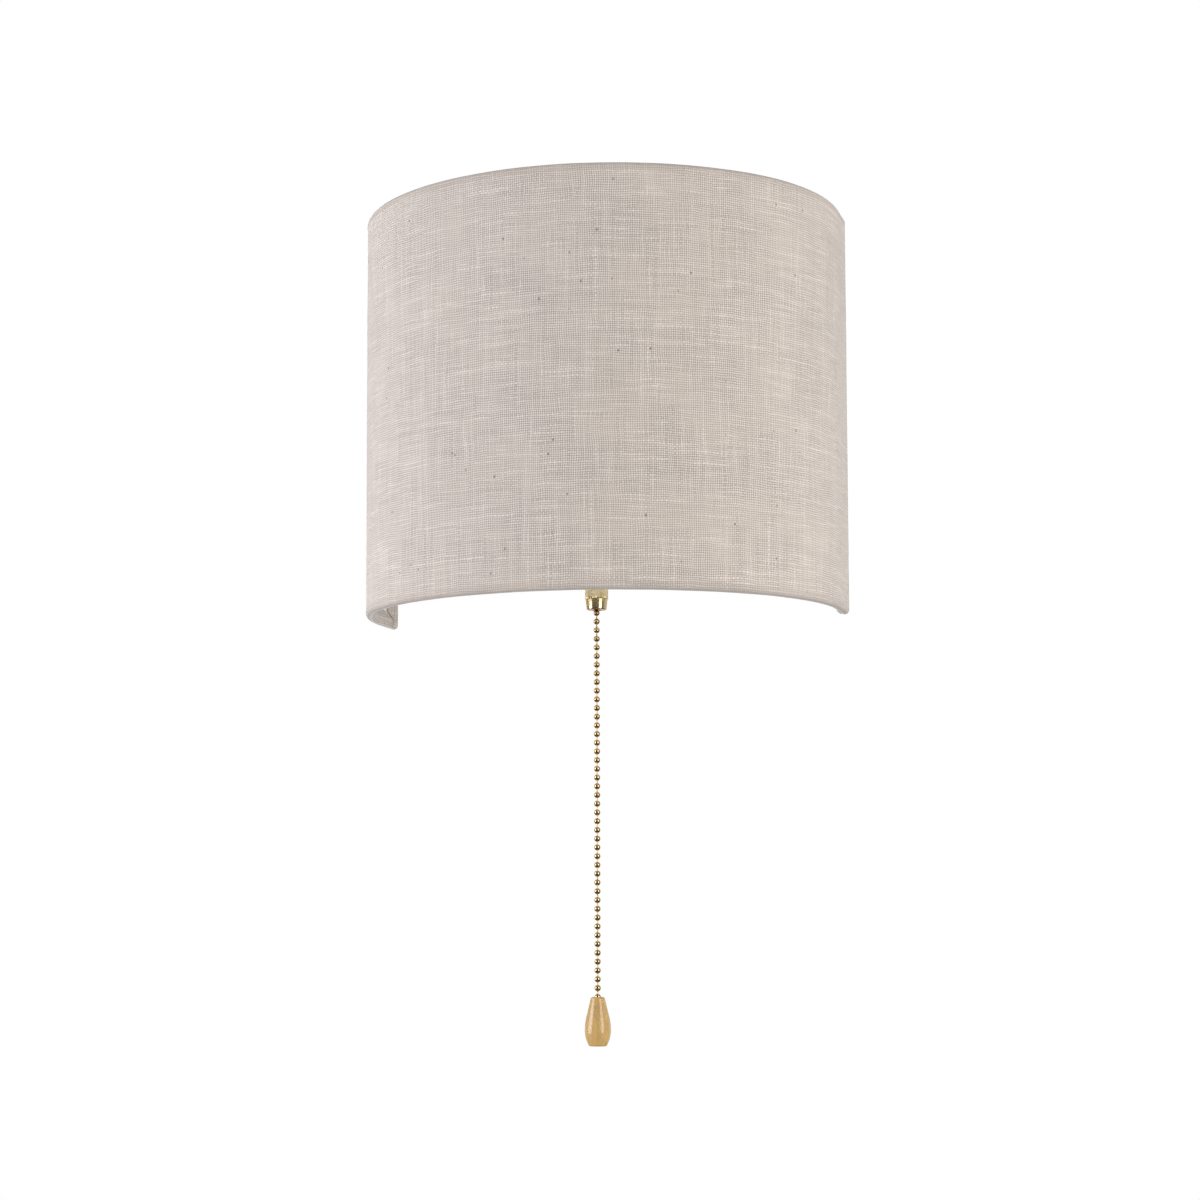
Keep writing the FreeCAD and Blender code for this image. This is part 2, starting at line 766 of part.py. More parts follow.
def switch_can():
    """Drawn metal can that stands on the shelf."""
    body = new_body("switch_can", SWITCH)
    outer = "can_diameter / 2"
    inner = "(can_diameter / 2 - can_wall)"
    turned(body, [
        (TUBE_HOLE, "0"), (outer, "0"), (outer, CAN_TOP),
        (inner, CAN_TOP), (inner, "can_floor"), (TUBE_HOLE, "can_floor"),
    ])


def switch_cover():
    """Moulded lid with a hole for each lead."""
    body = new_body("switch_cover", SWITCH)
    ring(body, "0", "can_diameter / 2", CAN_TOP, f"{CAN_TOP} + cover_thickness")
    holes = new_sketch(body, "XY")
    for side in ("", "-"):
        circle(holes, STRIP_X, f"{side}strip_spacing / 2", "lead_diameter / 2 + hole_ease / 2")
    cut_through(body, holes)


def switch_insulator():
    """Moulded block that holds the wheel, its pin and the contact strips."""
    body = new_body("switch_insulator", SWITCH)
    radius = "(can_diameter / 2 - can_wall - insulator_ease)"
    ring(body, "0", radius, INSULATOR_FOOT, CAN_TOP)
    cavity = new_sketch(body, "XY")
    side = "(wheel_diameter / 2 + running_gap + blade_thickness + blade_room)"
    end = "(wheel_width / 2 + cavity_ease)"
    rectangle(cavity, f"-{side}", side, f"-{end}", end)
    cut_through(body, cavity)
    bearing = new_sketch(body, "XZ")
    circle(bearing, "0", WHEEL_RISE, "wheel_pin / 2 + thread_ease")
    pin_way = body.newObject("PartDesign::Pocket", "PinWay")
    pin_way.Profile = bearing
    pin_way.Midplane = True
    bind(pin_way, "Length", f"{PIN_LENGTH} + 2 * thread_ease")
    finish_feature(body, pin_way)


def switch_tube():
    """Threaded tube, with its flange inside the can."""
    body = new_body("switch_tube", SWITCH)
    foot = f"({BELL_FOOT} + bell_floor + hole_ease)"
    flange = f"({TUBE} + flange_rim)"
    turned(body, [
        (CHAIN_WAY, foot), (TUBE, foot), (TUBE, "can_floor"),
        (flange, "can_floor"), (flange, FLANGE_TOP), (CHAIN_WAY, FLANGE_TOP),
    ])


def switch_washer():
    body = new_body("switch_washer", SWITCH)
    under = "(-plate_thickness)"
    ring(body, TUBE_HOLE, f"{TUBE} + switch_washer_rim", f"{under} - switch_washer_thickness", under)


def switch_nut():
    """Long knurled nut that clamps the switch to the shelf."""
    body = new_body("switch_nut", SWITCH)
    outer = f"({TUBE_HOLE} + nut_wall)"
    ring(body, TUBE_HOLE, outer, NUT_FOOT, f"{NUT_FOOT} + nut_height")
    groove = new_sketch(body, "XY")
    circle(groove, outer, "0", "groove_radius")
    cut = cut_through(body, groove)
    pattern = body.newObject("PartDesign::PolarPattern", "Knurl")
    pattern.Originals = [cut]
    pattern.Axis = (origin(body, "Z_Axis"), [""])
    pattern.Angle = 360
    bind(pattern, "Occurrences", "groove_count")
    finish_feature(body, pattern)


def switch_bell():
    """Polished end on the tube, rounded where the chain leaves it."""
    body = new_body("switch_bell", SWITCH)
    outer = f"({TUBE_HOLE} + bell_wall)"
    mouth = "(bead_diameter / 2 + bell_mouth_ease)"
    floor = f"({BELL_FOOT} + bell_floor)"
    turned(body, [
        (mouth, BELL_FOOT),
        (f"{outer} - bell_round", BELL_FOOT, "bell_round", 1),
        (outer, f"{BELL_FOOT} + bell_round"),
        (outer, NUT_FOOT),
        (TUBE_HOLE, NUT_FOOT),
        (TUBE_HOLE, floor),
        (mouth, floor),
    ])


def plunger():
    """The part that the chain pulls down: rod, head and the blade that turns the wheel."""
    body = new_body("plunger", SWITCH)
    foot = f"({FIRST_BEAD} + inner_beads * bead_pitch + bead_diameter / 2)"
    head = f"({SPRING} + head_rim)"
    turned(body, [
        ("0", foot), (PULL_ROD, foot), (PULL_ROD, HEAD_FOOT),
        (head, HEAD_FOOT), (head, HEAD_TOP), ("0", HEAD_TOP),
    ])
    blade = new_sketch(body, "XY", HEAD_FOOT)
    near = "(wheel_diameter / 2 + running_gap)"
    rectangle(blade, near, f"{near} + blade_thickness", f"-{PULL_ROD}", PULL_ROD)
    pad(body, blade, f"{WHEEL_RISE} + blade_overlap - {HEAD_FOOT}")


def return_spring():
    """Compression spring between the tube's flange and the plunger's head."""
    low = value(f"{FLANGE_TOP} + spring_wire / 2")
    high = value(f"{HEAD_FOOT} - spring_wire / 2")
    radius = value(f"{SPRING} - spring_wire / 2")
    turns = value("spring_turns")
    helix = Part.makeHelix((high - low) / turns, high - low, radius)
    section = Part.Wire([Part.makeCircle(value("spring_wire / 2"), V(radius, 0, 0), V(0, 1, 0))])
    tube = Part.Wire(helix.Edges).makePipeShell([section], True, True)
    spring = free_form("return_spring", tube)
    spring.Placement.Base = V(*[value(text) for text in SWITCH]) + V(0, 0, low)


def ratchet_wheel():
    """Toothed drum that opens and closes the contacts."""
    body = new_body("ratchet_wheel", (SWITCH[0], SWITCH[1], f"{SHELF_TOP} + {WHEEL_RISE}"))
    sketch = new_sketch(body, "XZ")
    corners = []
    teeth = round(value("wheel_teeth"))
    for tooth in range(teeth):
        start = f"({tooth} * 360 / wheel_teeth)"
        heel = f"(({tooth} + tooth_share) * 360 / wheel_teeth)"
        corners.append((f"wheel_diameter / 2 * cos{start}", f"wheel_diameter / 2 * sin{start}"))
        root = "(wheel_diameter / 2 - tooth_depth)"
        corners.append((f"{root} * cos{heel}", f"{root} * sin{heel}"))
    outline(sketch, corners)
    circle(sketch, "0", "0", "wheel_pin / 2 + thread_ease")
    pad(body, sketch, "wheel_width", middle=True)


def wheel_pin():
    body = new_body("wheel_pin", (SWITCH[0], SWITCH[1], f"{SHELF_TOP} + {WHEEL_RISE}"))
    sketch = new_sketch(body, "XZ")
    circle(sketch, "0", "0", "wheel_pin / 2")
    pad(body, sketch, PIN_LENGTH, middle=True)


STRIP_X = "(-wheel_diameter / 2 - running_gap - strip_thickness / 2)"
STRIP_TOP = f"({CAN_TOP} - running_gap)"


def contact_strips():
    """Two upright brass leaves beside the drum."""
    body = new_body("contact_strips", SWITCH)
    sketch = new_sketch(body, "XY", f"{STRIP_TOP} - strip_height")
    left = f"({STRIP_X} - strip_thickness / 2)"
    right = f"({STRIP_X} + strip_thickness / 2)"
    for side in (1, -1):
        middle = f"{side} * strip_spacing / 2"
        rectangle(sketch, left, right, f"{middle} - strip_width / 2", f"{middle} + strip_width / 2")
    pad(body, sketch, "strip_height")


# ---------------------------------------------------------------- pull chain

def bead(body, height):
    """One ball of the chain, as two quarter arcs turned about the upright axis."""
    radius = "(bead_diameter / 2)"
    return turned(body, [
        ("0", f"{height} - {radius}", radius, 1),
        (radius, height, radius, 1),
        ("0", f"{height} + {radius}"),
    ])


def link(body, upper, lower_ease="0", upper_ease="0"):
    """The short bar below the bead at the given height, hollowed to fit both beads."""
    bar = "(link_diameter / 2)"
    lower = f"({upper} - bead_pitch)"
    low_radius = f"(bead_diameter / 2 + {lower_ease})"
    high_radius = f"(bead_diameter / 2 + {upper_ease})"
    low_edge = f"({lower} + sqrt({low_radius} ^ 2 - {bar} ^ 2))"
    high_edge = f"({upper} - sqrt({high_radius} ^ 2 - {bar} ^ 2))"
    return turned(body, [
        ("0", f"{lower} + {low_radius}", low_radius, -1),
        (bar, low_edge),
        (bar, high_edge, high_radius, -1),
        ("0", f"{upper} - {high_radius}"),
    ])


def chain():
    """Beads and bars of the ball chain. The first hanging bead is the pivot of its swing."""
    inner = new_body("inner_beads", SWITCH)
    top = f"({FIRST_BEAD} + inner_beads * bead_pitch)"
    repeat_down(inner, bead(inner, top), "inner_beads", "bead_pitch")

    inner_links = new_body("inner_links", SWITCH)
    repeat_down(inner_links, link(inner_links, top), "(inner_beads - 1)", "bead_pitch")

    top_link = new_body("top_link", SWITCH)
    link(top_link, f"({FIRST_BEAD} + bead_pitch)", lower_ease="swivel_ease")

    first = new_body("first_bead", SWITCH)
    bead(first, FIRST_BEAD)

    first_link = new_body("first_link", SWITCH)
    link(first_link, FIRST_BEAD, upper_ease="swivel_ease")

    beads = new_body("chain_beads", SWITCH)
    count = "(hanging_beads - 1)"
    repeat_down(beads, bead(beads, f"({FIRST_BEAD} - bead_pitch)"), count, "bead_pitch")

    links = new_body("chain_links", SWITCH)
    count = "(hanging_beads + knob_beads - 2)"
    repeat_down(links, link(links, f"({FIRST_BEAD} - bead_pitch)"), count, "bead_pitch")

    held = new_body("knob_beads", SWITCH)
    repeat_down(held, bead(held, KNOB_TOP), "knob_beads", "bead_pitch")


def pull_knob():
    """Turned wooden drop with a bore that grips the chain's last beads."""
    body = new_body("pull_knob", (SWITCH[0], SWITCH[1], f"{SHELF_TOP} + {KNOB_TOP}"))
    bore = "(bead_diameter / 2 + knob_ease)"
    depth = "((knob_beads - 1) * bead_pitch + bead_diameter / 2 + knob_ease)"
    turned(body, [
        (bore, f"-{depth}"),
        (bore, "0"),
        ("knob_top / 2", "0"),
        ("knob_neck / 2", "-knob_neck_drop", "knob_belly_radius", -1),
        ("knob_diameter / 2", "-knob_belly_drop", "knob_foot_radius", -1),
        ("knob_foot / 2", "-knob_height"),
        ("0", "-knob_height"),
        ("0", f"-{depth}"),
    ])


# ---------------------------------------------------------------- lampholder

def holder_tube():
    """Threaded tube that clamps the lampholder to the shelf."""
    body = new_body("holder_tube", HOLDER)
    ring(body, "holder_tube_bore / 2", "holder_tube / 2", "-holder_tube_drop", "holder_tube_rise")


def hex_nut(name, low):
    body = new_body(name, HOLDER)
    sketch = new_sketch(body, "XY", low)
    corner = "(hex_width / sqrt(3))"
    corners = []
    for step in range(6):
        corners.append((f"{corner} * cos({60 * step})", f"{corner} * sin({60 * step})"))
    outline(sketch, corners)
    circle(sketch, "0", "0", "holder_tube / 2 + thread_ease")
    pad(body, sketch, "hex_height")


def holder_washer():
    body = new_body("holder_washer", HOLDER)
    under = "(-plate_thickness)"
    ring(body, "holder_tube / 2 + thread_ease", "holder_washer_width / 2",
         f"{under} - holder_washer_thickness", under)


def lead_spot(turn):
    """Where a lead goes down into the lampholder's cap, turned from straight behind it."""
    return (f"({LEAD_CIRCLE} * sin({turn}))", f"({LEAD_CIRCLE} * cos({turn}))")


LEAD_TURNS = (-14, 38)


def holder_cap():
    """Moulded base of the lampholder, with a shoulder that the leads go in through."""
    body = new_body("holder_cap", HOLDER)
    hole = "(holder_tube / 2 + thread_ease)"
    inner = f"({CAP_RADIUS} - cap_wall)"
    collar = f"({HOLDER_RADIUS} + hole_ease / 2)"
    turned(body, [
        (hole, "0"), (CAP_RADIUS, "0"), (CAP_RADIUS, "cap_height"), (collar, "cap_height"),
        (collar, "cap_height - cap_wall"), (inner, "cap_height - cap_wall"),
        (inner, "cap_wall"), (hole, "cap_wall"),
    ])
    holes = new_sketch(body, "XY", "cap_height")
    for turn in LEAD_TURNS:
        x, y = lead_spot(turn)
        circle(holes, x, y, "lead_diameter / 2 + hole_ease / 2")
    ways = body.newObject("PartDesign::Pocket", "LeadWays")
    ways.Profile = holes
    bind(ways, "Length", "2 * cap_wall")
    finish_feature(body, ways)


def holder_body():
    """Insulating body: a skirt that stands in the cap, a floor, and the bulb's bore."""
    body = new_body("holder_body", HOLDER)
    skirt = f"({HOLDER_RADIUS} - holder_skirt)"
    rivet = "(rivet_diameter / 2 + thread_ease)"
    turned(body, [
        (skirt, "cap_wall"), (HOLDER_RADIUS, "cap_wall"), (HOLDER_RADIUS, "holder_height"),
        (HOLDER_BORE, "holder_height"), (HOLDER_BORE, HOLDER_FLOOR_TOP), (rivet, HOLDER_FLOOR_TOP),
        (rivet, "holder_floor_rise"), (skirt, "holder_floor_rise"),
    ])
    # Screw holes in the skirt, one in line with each lead.
    for turn in LEAD_TURNS:
        before = body.Shape.Volume
        hole = body.newObject("PartDesign::SubtractiveCylinder", "ScrewWay")
        bind(hole, "Radius", "holder_screw_shank / 2 + thread_ease")
        bind(hole, "Height", HOLDER_RADIUS)
        hole.AttachmentSupport = [(origin(body, "XY_Plane"), "")]
        hole.MapMode = "FlatFace"
        hole.AttachmentOffset.Rotation = FreeCAD.Rotation(V(0, 0, 1), outward(turn))
        bind(hole, "AttachmentOffset.Base.z", "holder_screw_rise")
        finish_feature(body, hole)
        if body.Shape.Volume > before - 1e-6:
            raise RuntimeError("a screw way in the lampholder cuts nothing")


def outward(turn):
    """The level direction out from the axis, turned from straight behind."""
    return V(math.sin(math.radians(turn)), math.cos(math.radians(turn)), 0)


def holder_screws():
    """Two terminal screws: each clamps the end of a lead against the skirt."""
    head = value("holder_screw_head / 2")
    shank = value("holder_screw_shank / 2")
    face = value(HOLDER_RADIUS)
    inside = value(f"{HOLDER_RADIUS} - holder_skirt")
    thick = value("(cap_shoulder - lead_diameter) / 2")
    screws = []
    for turn in LEAD_TURNS:
        out = outward(turn)
        rise = V(0, 0, value("holder_screw_rise"))
        rod = Part.makeCylinder(shank, face - inside, rise + out * inside, out)
        cap = Part.makeCylinder(head, thick, rise + out * (face + value("thread_ease")), out)
        neck = Part.makeCylinder(shank, thick, rise + out * face, out)
        screws.append(rod.fuse([neck, cap]).removeSplitter())
    screw_set = free_form("holder_screws", Part.makeCompound(screws))
    screw_set.Placement.Base = V(*[value(text) for text in HOLDER])


def screw_shell():
    """Thin brass sleeve that takes the bulb's thread."""
    body = new_body("screw_shell", HOLDER)
    outer = f"({HOLDER_BORE} - thread_ease)"
    inner = f"({outer} - shell_thickness)"
    low = "(holder_height - shell_height - plate_thickness)"
    ring(body, inner, outer, low, f"{low} + shell_height")


def centre_contact():
    """Riveted brass leaf under the bulb's tip."""
    body = new_body("centre_contact", HOLDER)
    floor_top = HOLDER_FLOOR_TOP
    leaf_top = f"({floor_top} + contact_thickness)"
    tip = "(bulb_rise - hole_ease)"
    ring(body, "0", "rivet_diameter / 2", "holder_floor_rise - contact_thickness", leaf_top)
    # The leaf lies on the floor, folds back at its right end and comes up under the tip.
    bend = "(contact_reach / 2)"
    inner_bend = f"({bend} - contact_thickness / 2)"
    inner_fold = "(contact_reach - contact_fold)"
    leaf = new_sketch(body, "XZ")
    outline(leaf, [
        ("-contact_reach", floor_top),
        (bend, floor_top),
        ("contact_reach", f"{tip} - contact_drop"),
        (bend, tip),
        ("-contact_lip", tip),
        ("-contact_lip", f"{tip} - contact_thickness"),
        (inner_bend, f"{tip} - contact_thickness"),
        (inner_fold, f"{tip} - contact_drop"),
        (inner_bend, leaf_top),
        ("-contact_reach", leaf_top),
    ])
    pad(body, leaf, "contact_width", middle=True)


# ---------------------------------------------------------------- bulb

def bulb_glass():
    """Opal glass: a globe, a cone tangent to it and a straight neck."""
    body = new_body("bulb_glass", HOLDER)
    middle = "(bulb_rise + bulb_length - globe_diameter / 2)"
    foot = "(bulb_rise + bulb_tip_height + bulb_seal_height + bulb_cap_height - bulb_cap_wall)"

    def profile(inset):
        globe = f"(globe_diameter / 2 - {inset})"
        neck = f"(bulb_cap_diameter / 2 - neck_step - {inset})"
        touch_r = f"({globe} * cos(neck_slope))"
        touch_z = f"({middle} - {globe} * sin(neck_slope))"
        neck_z = f"({touch_z} - ({touch_r} - {neck}) / tan(neck_slope))"
        return neck, neck_z, touch_r, touch_z, globe, f"({middle} + {globe})"

    neck, neck_z, touch_r, touch_z, globe, top = profile("0")
    neck_in, neck_z_in, touch_r_in, touch_z_in, globe_in, top_in = profile("glass_thickness")
    turned(body, [
        (neck_in, foot),
        (neck, foot),
        (neck, neck_z),
        (touch_r, touch_z, globe, 1),
        (globe, middle, globe, 1),
        ("0", top),
        ("0", top_in, globe_in, -1),
        (globe_in, middle, globe_in, -1),
        (touch_r_in, touch_z_in),
        (neck_in, neck_z_in),
    ])


def bulb_cap():
    """The bulb's screw cap: a thin cup, open at the top where the glass goes in."""
    body = new_body("bulb_cap", HOLDER)
    outer = "bulb_cap_diameter / 2"
    inner = "(bulb_cap_diameter / 2 - bulb_cap_wall)"
    low = "(bulb_rise + bulb_tip_height + bulb_seal_height - bulb_cap_wall)"
    top = f"({low} + bulb_cap_height)"
    hole = "(bulb_tip_diameter / 2)"
    turned(body, [
        (hole, f"{low}"), (outer, low), (outer, top), (inner, top),
        (inner, f"{low} + bulb_cap_wall"), (hole, f"{low} + bulb_cap_wall"),
    ])


def bulb_seal():
    """Black glass between the cap and the tip."""
    body = new_body("bulb_seal", HOLDER)
    low = "(bulb_rise + bulb_tip_height)"
    high = f"({low} + bulb_seal_height - bulb_cap_wall)"
    turned(body, [
        ("0", low), ("bulb_tip_diameter / 2", low),
        ("bulb_cap_diameter / 2 - bulb_seal_inset", high), ("0", high),
    ])


def bulb_tip():
    body = new_body("bulb_tip", HOLDER)
    ring(body, "0", "bulb_tip_diameter / 2", "bulb_rise", "bulb_rise + bulb_tip_height")


# ---------------------------------------------------------------- leads inside the lamp

def rounded_tube(points, radius):
    """A tube along straight runs joined by arcs as large as the runs allow."""
    edges = []
    start = points[0]
    smallest = None
    for before, corner, after in zip(points, points[1:], points[2:]):
        back = (before - corner).normalize()
        on = (after - corner).normalize()
        turn = math.pi - back.getAngle(on)
        trim = 0.45 * min((before - corner).Length, (after - corner).Length)
        bend = trim / math.tan(turn / 2)
        enter = corner + back * trim
        leave = corner + on * trim
        inward = (back + on).normalize()
        middle = corner + inward * (math.hypot(trim, bend) - bend)
        edges.append(Part.LineSegment(start, enter).toShape())
        edges.append(Part.Arc(enter, middle, leave).toShape())
        start = leave
        smallest = bend if smallest is None else min(smallest, bend)
    edges.append(Part.LineSegment(start, points[-1]).toShape())
    path = Part.Wire(edges)
    away = (points[1] - points[0]).normalize()
    section = Part.Wire([Part.makeCircle(radius, points[0], away)])
    tube = path.makePipeShell([section], True, False)
    wanted = math.pi * radius ** 2 * path.Length
    print(f"lead {path.Length:.0f} mm long, tightest bend {smallest:.1f} mm,"
          f" volume {tube.Volume / wanted:.3f} of section times length")
    return tube


def leads():
    """Supply line to the switch, switch to the lampholder, and neutral to the lampholder."""
    pole = value("pole_spacing / 2")
    block_y = value(LEAD_Y)
    reach = -value("chain_reach")
    strip_x = value(STRIP_X)
    strip_y = value("strip_spacing / 2")
    shelf = value(SHELF_TOP)
    strip_top = shelf + value(STRIP_TOP)
    over = shelf + value(f"{CAN_TOP} + cover_thickness + lead_rise")
    can_back = reach + value("can_diameter / 2")
    grip = value(f"{BLOCK_MIDDLE} - lead_grip")
    under = value(f"{BLOCK_LOW} - lead_drop")
    lamp = -value(LAMP_REACH)
    screw_top = shelf + value("holder_screw_rise + holder_screw_head / 2")
    (left_x, left_y), (right_x, right_y) = [
        [value(text) for text in lead_spot(turn)] for turn in LEAD_TURNS]
    radius = value("lead_diameter / 2")
    beside = value("can_diameter / 2 + neutral_side_gap")
    behind = can_back + value("line_gap")

    line = [
        V(-pole, block_y, grip),
        V(-pole, block_y, under),
        V(-pole, behind, under),
        V(strip_x, behind, over),
        V(strip_x, reach + strip_y, over),
        V(strip_x, reach + strip_y, strip_top),
    ]
    free_form("lead_line", rounded_tube(line, radius))

    switched = [
        V(strip_x, reach - strip_y, strip_top),
        V(strip_x, reach - strip_y, over),
        V(left_x, lamp + left_y, over),
        V(left_x, lamp + left_y, screw_top),
    ]
    free_form("lead_switched", rounded_tube(switched, radius))

    neutral = [
        V(pole, block_y, grip),
        V(pole, block_y, under),
        V(beside, can_back + value("neutral_gap"), under),
        V(beside, reach - value("neutral_pass"), under),
        V(right_x, lamp + right_y, under + value("lead_step")),
        V(right_x, lamp + right_y, screw_top),
    ]
    free_form("lead_neutral", rounded_tube(neutral, radius))


# ---------------------------------------------------------------- build and write

shade_cloth()
shade_liner()
bow_wire("top_wire", TOP_WIRE)
bow_wire("bottom_wire", BOTTOM_WIRE)
frame_uprights()
cross_wire("back_wire", TOP_WIRE)
cross_wire("hanger_wire", HANGER_HEIGHT)
wall_plate()
cable_grommet()
terminal_block()
terminal_screws()
block_screw()
earth_screw()
earth_washer()
switch_can()
switch_cover()
switch_insulator()
switch_tube()
switch_washer()
switch_nut()
switch_bell()
plunger()
return_spring()
ratchet_wheel()
wheel_pin()
contact_strips()
chain()
pull_knob()
holder_tube()
holder_washer()
hex_nut("holder_nut", "-plate_thickness - holder_washer_thickness - hex_height")
hex_nut("inner_nut", "cap_wall")
holder_cap()
holder_body()
holder_screws()
screw_shell()
centre_contact()
bulb_glass()
bulb_cap()
bulb_seal()
bulb_tip()
leads()

doc.recompute()
faults = []
for item in doc.Objects:
    if "Invalid" in item.State or "Error" in item.State:
        faults.append(f"{item.Label}: {item.State}")
for node in nodes:
    if node.Shape.isNull() or not node.Shape.isValid() or node.Shape.Volume <= 0:
        faults.append(f"{node.Label}: its shape isn't sound")
if faults:
    raise RuntimeError("; ".join(faults))

os.makedirs("parts", exist_ok=True)
for node in nodes:
    node.Shape.exportStep(f"parts/{node.Label}.step")
    print(f"{node.Label}: {len(node.Shape.Solids)} solids, {node.Shape.Volume:.1f} mm3")
print(f"{len(nodes)} nodes")
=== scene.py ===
# %% [markdown]
# # Finishing a wall light with a linen shade
# The frame holds every piece of the lamp at its measured size and place. This script sets up a plain
# studio round it and mixes a finish for each surface. Then it rolls the linen over the shade's wires, and
# turns the switch, chain, knob, bulb and lampholder with real edges.

# %% Load the frame
import json
import math

import bmesh
import bpy
import numpy as np
from mathutils import Matrix, Vector, noise

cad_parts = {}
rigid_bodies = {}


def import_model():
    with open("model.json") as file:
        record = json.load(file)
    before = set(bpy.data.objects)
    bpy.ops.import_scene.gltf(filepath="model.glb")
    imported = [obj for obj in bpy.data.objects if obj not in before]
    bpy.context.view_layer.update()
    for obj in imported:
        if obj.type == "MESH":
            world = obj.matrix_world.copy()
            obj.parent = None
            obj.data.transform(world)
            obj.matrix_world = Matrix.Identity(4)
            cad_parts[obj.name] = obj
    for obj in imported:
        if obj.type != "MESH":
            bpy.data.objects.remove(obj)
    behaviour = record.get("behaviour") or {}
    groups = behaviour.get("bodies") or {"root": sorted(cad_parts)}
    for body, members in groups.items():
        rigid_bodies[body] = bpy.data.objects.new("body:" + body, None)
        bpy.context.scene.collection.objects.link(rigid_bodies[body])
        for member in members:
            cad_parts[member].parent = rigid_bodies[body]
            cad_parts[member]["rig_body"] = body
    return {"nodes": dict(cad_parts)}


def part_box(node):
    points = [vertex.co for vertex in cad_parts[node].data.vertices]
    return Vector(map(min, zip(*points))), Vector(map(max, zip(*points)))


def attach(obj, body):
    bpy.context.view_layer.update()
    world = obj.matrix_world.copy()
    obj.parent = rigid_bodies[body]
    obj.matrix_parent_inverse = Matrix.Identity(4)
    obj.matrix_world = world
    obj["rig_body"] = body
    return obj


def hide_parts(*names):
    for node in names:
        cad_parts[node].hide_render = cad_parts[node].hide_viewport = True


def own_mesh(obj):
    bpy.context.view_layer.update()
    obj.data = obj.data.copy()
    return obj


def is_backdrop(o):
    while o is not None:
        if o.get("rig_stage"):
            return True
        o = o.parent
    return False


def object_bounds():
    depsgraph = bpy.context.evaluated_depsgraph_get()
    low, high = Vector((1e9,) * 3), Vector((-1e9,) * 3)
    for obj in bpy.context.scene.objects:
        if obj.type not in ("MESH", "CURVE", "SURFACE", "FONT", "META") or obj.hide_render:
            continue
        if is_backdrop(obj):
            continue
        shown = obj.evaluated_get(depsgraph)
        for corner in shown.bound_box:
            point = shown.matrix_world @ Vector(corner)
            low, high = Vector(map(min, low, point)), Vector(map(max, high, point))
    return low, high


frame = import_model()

cad_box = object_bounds()

# %% [markdown]
# ## Working sizes
# Makers of lamps think in millimetres, and Blender works in metres. Outlines are drawn in millimetres
# and scaled once, when a mesh is made. Places are read off the frame, so that a drawn piece always sits
# where the measured one does.

# %% Measures and small helpers
MM = 0.001


def box_mm(node):
    """The lowest and highest corner of a measured piece, in millimetres."""
    low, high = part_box(node)
    return low / MM, high / MM


def round_mm(node):
    """Radius, foot and top of a measured piece that is round about an upright axis."""
    low, high = box_mm(node)
    return (high.x - low.x) / 2, low.z, high.z


def axis_mm(node):
    """Where the upright axis of a round piece stands."""
    low, high = box_mm(node)
    return (low.x + high.x) / 2, (low.y + high.y) / 2, 0


def share_of(value):
    """The value, but no less than 0 and no more than 1."""
    return min(max(value, 0.0), 1.0)


def eased_share(value):
    """The same, with a gentle start and end."""
    share = share_of(value)
    return share**2 * (3 - 2 * share)


def add_object(name, data):
    """A new object in the scene."""
    made = bpy.data.objects.new(name, data)
    bpy.context.scene.collection.objects.link(made)
    return made


# %% The lamp's main places
shade_low, shade_high = box_mm("shade_cloth")
SHADE_BOTTOM = shade_low.z
SHADE_TOP = shade_high.z
HALF_WIDTH = shade_high.x
REAR = shade_high.y
print(f"shade {2 * HALF_WIDTH:.0f} mm wide, {SHADE_TOP - SHADE_BOTTOM:.0f} mm high")

# %% [markdown]
# ## Camera
# The photograph was taken from a little below and to the right, with a long lens that keeps the shade's
# upright edges nearly parallel. The camera's turn, height and distance were found by laying the shade's
# top and bottom curves over the photograph. A small lens shift does part of the work of a tilt, because a
# tilt makes upright edges lean in.

# %% Place the camera
SENSOR, PICTURE, FOCAL_PIXELS = 36.0, 1200, 2586
CAMERA_TURN, CAMERA_TILT, CAMERA_ROLL = 0.2561, 0.0853, -0.003
CAMERA_SIDE, CAMERA_DISTANCE, CAMERA_HEIGHT = -8.3, 1356.9, -241.1
CAMERA_SHIFT = 0.09

lens = bpy.data.cameras.new("camera")
lens.sensor_width = SENSOR
lens.lens = FOCAL_PIXELS / PICTURE * SENSOR
lens.shift_y = CAMERA_SHIFT
side, front = math.sin(CAMERA_TURN), math.cos(CAMERA_TURN)
place = Vector((CAMERA_SIDE * front + CAMERA_DISTANCE * side,
                CAMERA_SIDE * side - CAMERA_DISTANCE * front, CAMERA_HEIGHT))
ahead = Vector((-side * math.cos(CAMERA_TILT), front * math.cos(CAMERA_TILT), math.sin(CAMERA_TILT)))
aim = ahead.to_track_quat("-Z", "Y").to_matrix() @ Matrix.Rotation(CAMERA_ROLL, 3, "Z")
camera = add_object("camera", lens)
camera.matrix_world = Matrix.Translation(place * MM) @ aim.to_4x4()
bpy.context.scene.camera = camera
print(f"camera with a {lens.lens:.0f} mm lens at {tuple(round(c, 2) for c in camera.location)}")

# %% [markdown]
# ## A small kit for nodes
# The room, the floor and every finish are mixed from nodes. One call of this kit makes a node and fills
# its inputs, and a few more stand for what most surfaces show, such as grain, specks and wear. What is
# even all over a surface is set straight on its shader; only what varies goes through nodes.

# %% Node kit
SPAN = (0.3, 0.7)  # most of a cloud's values lie between these two


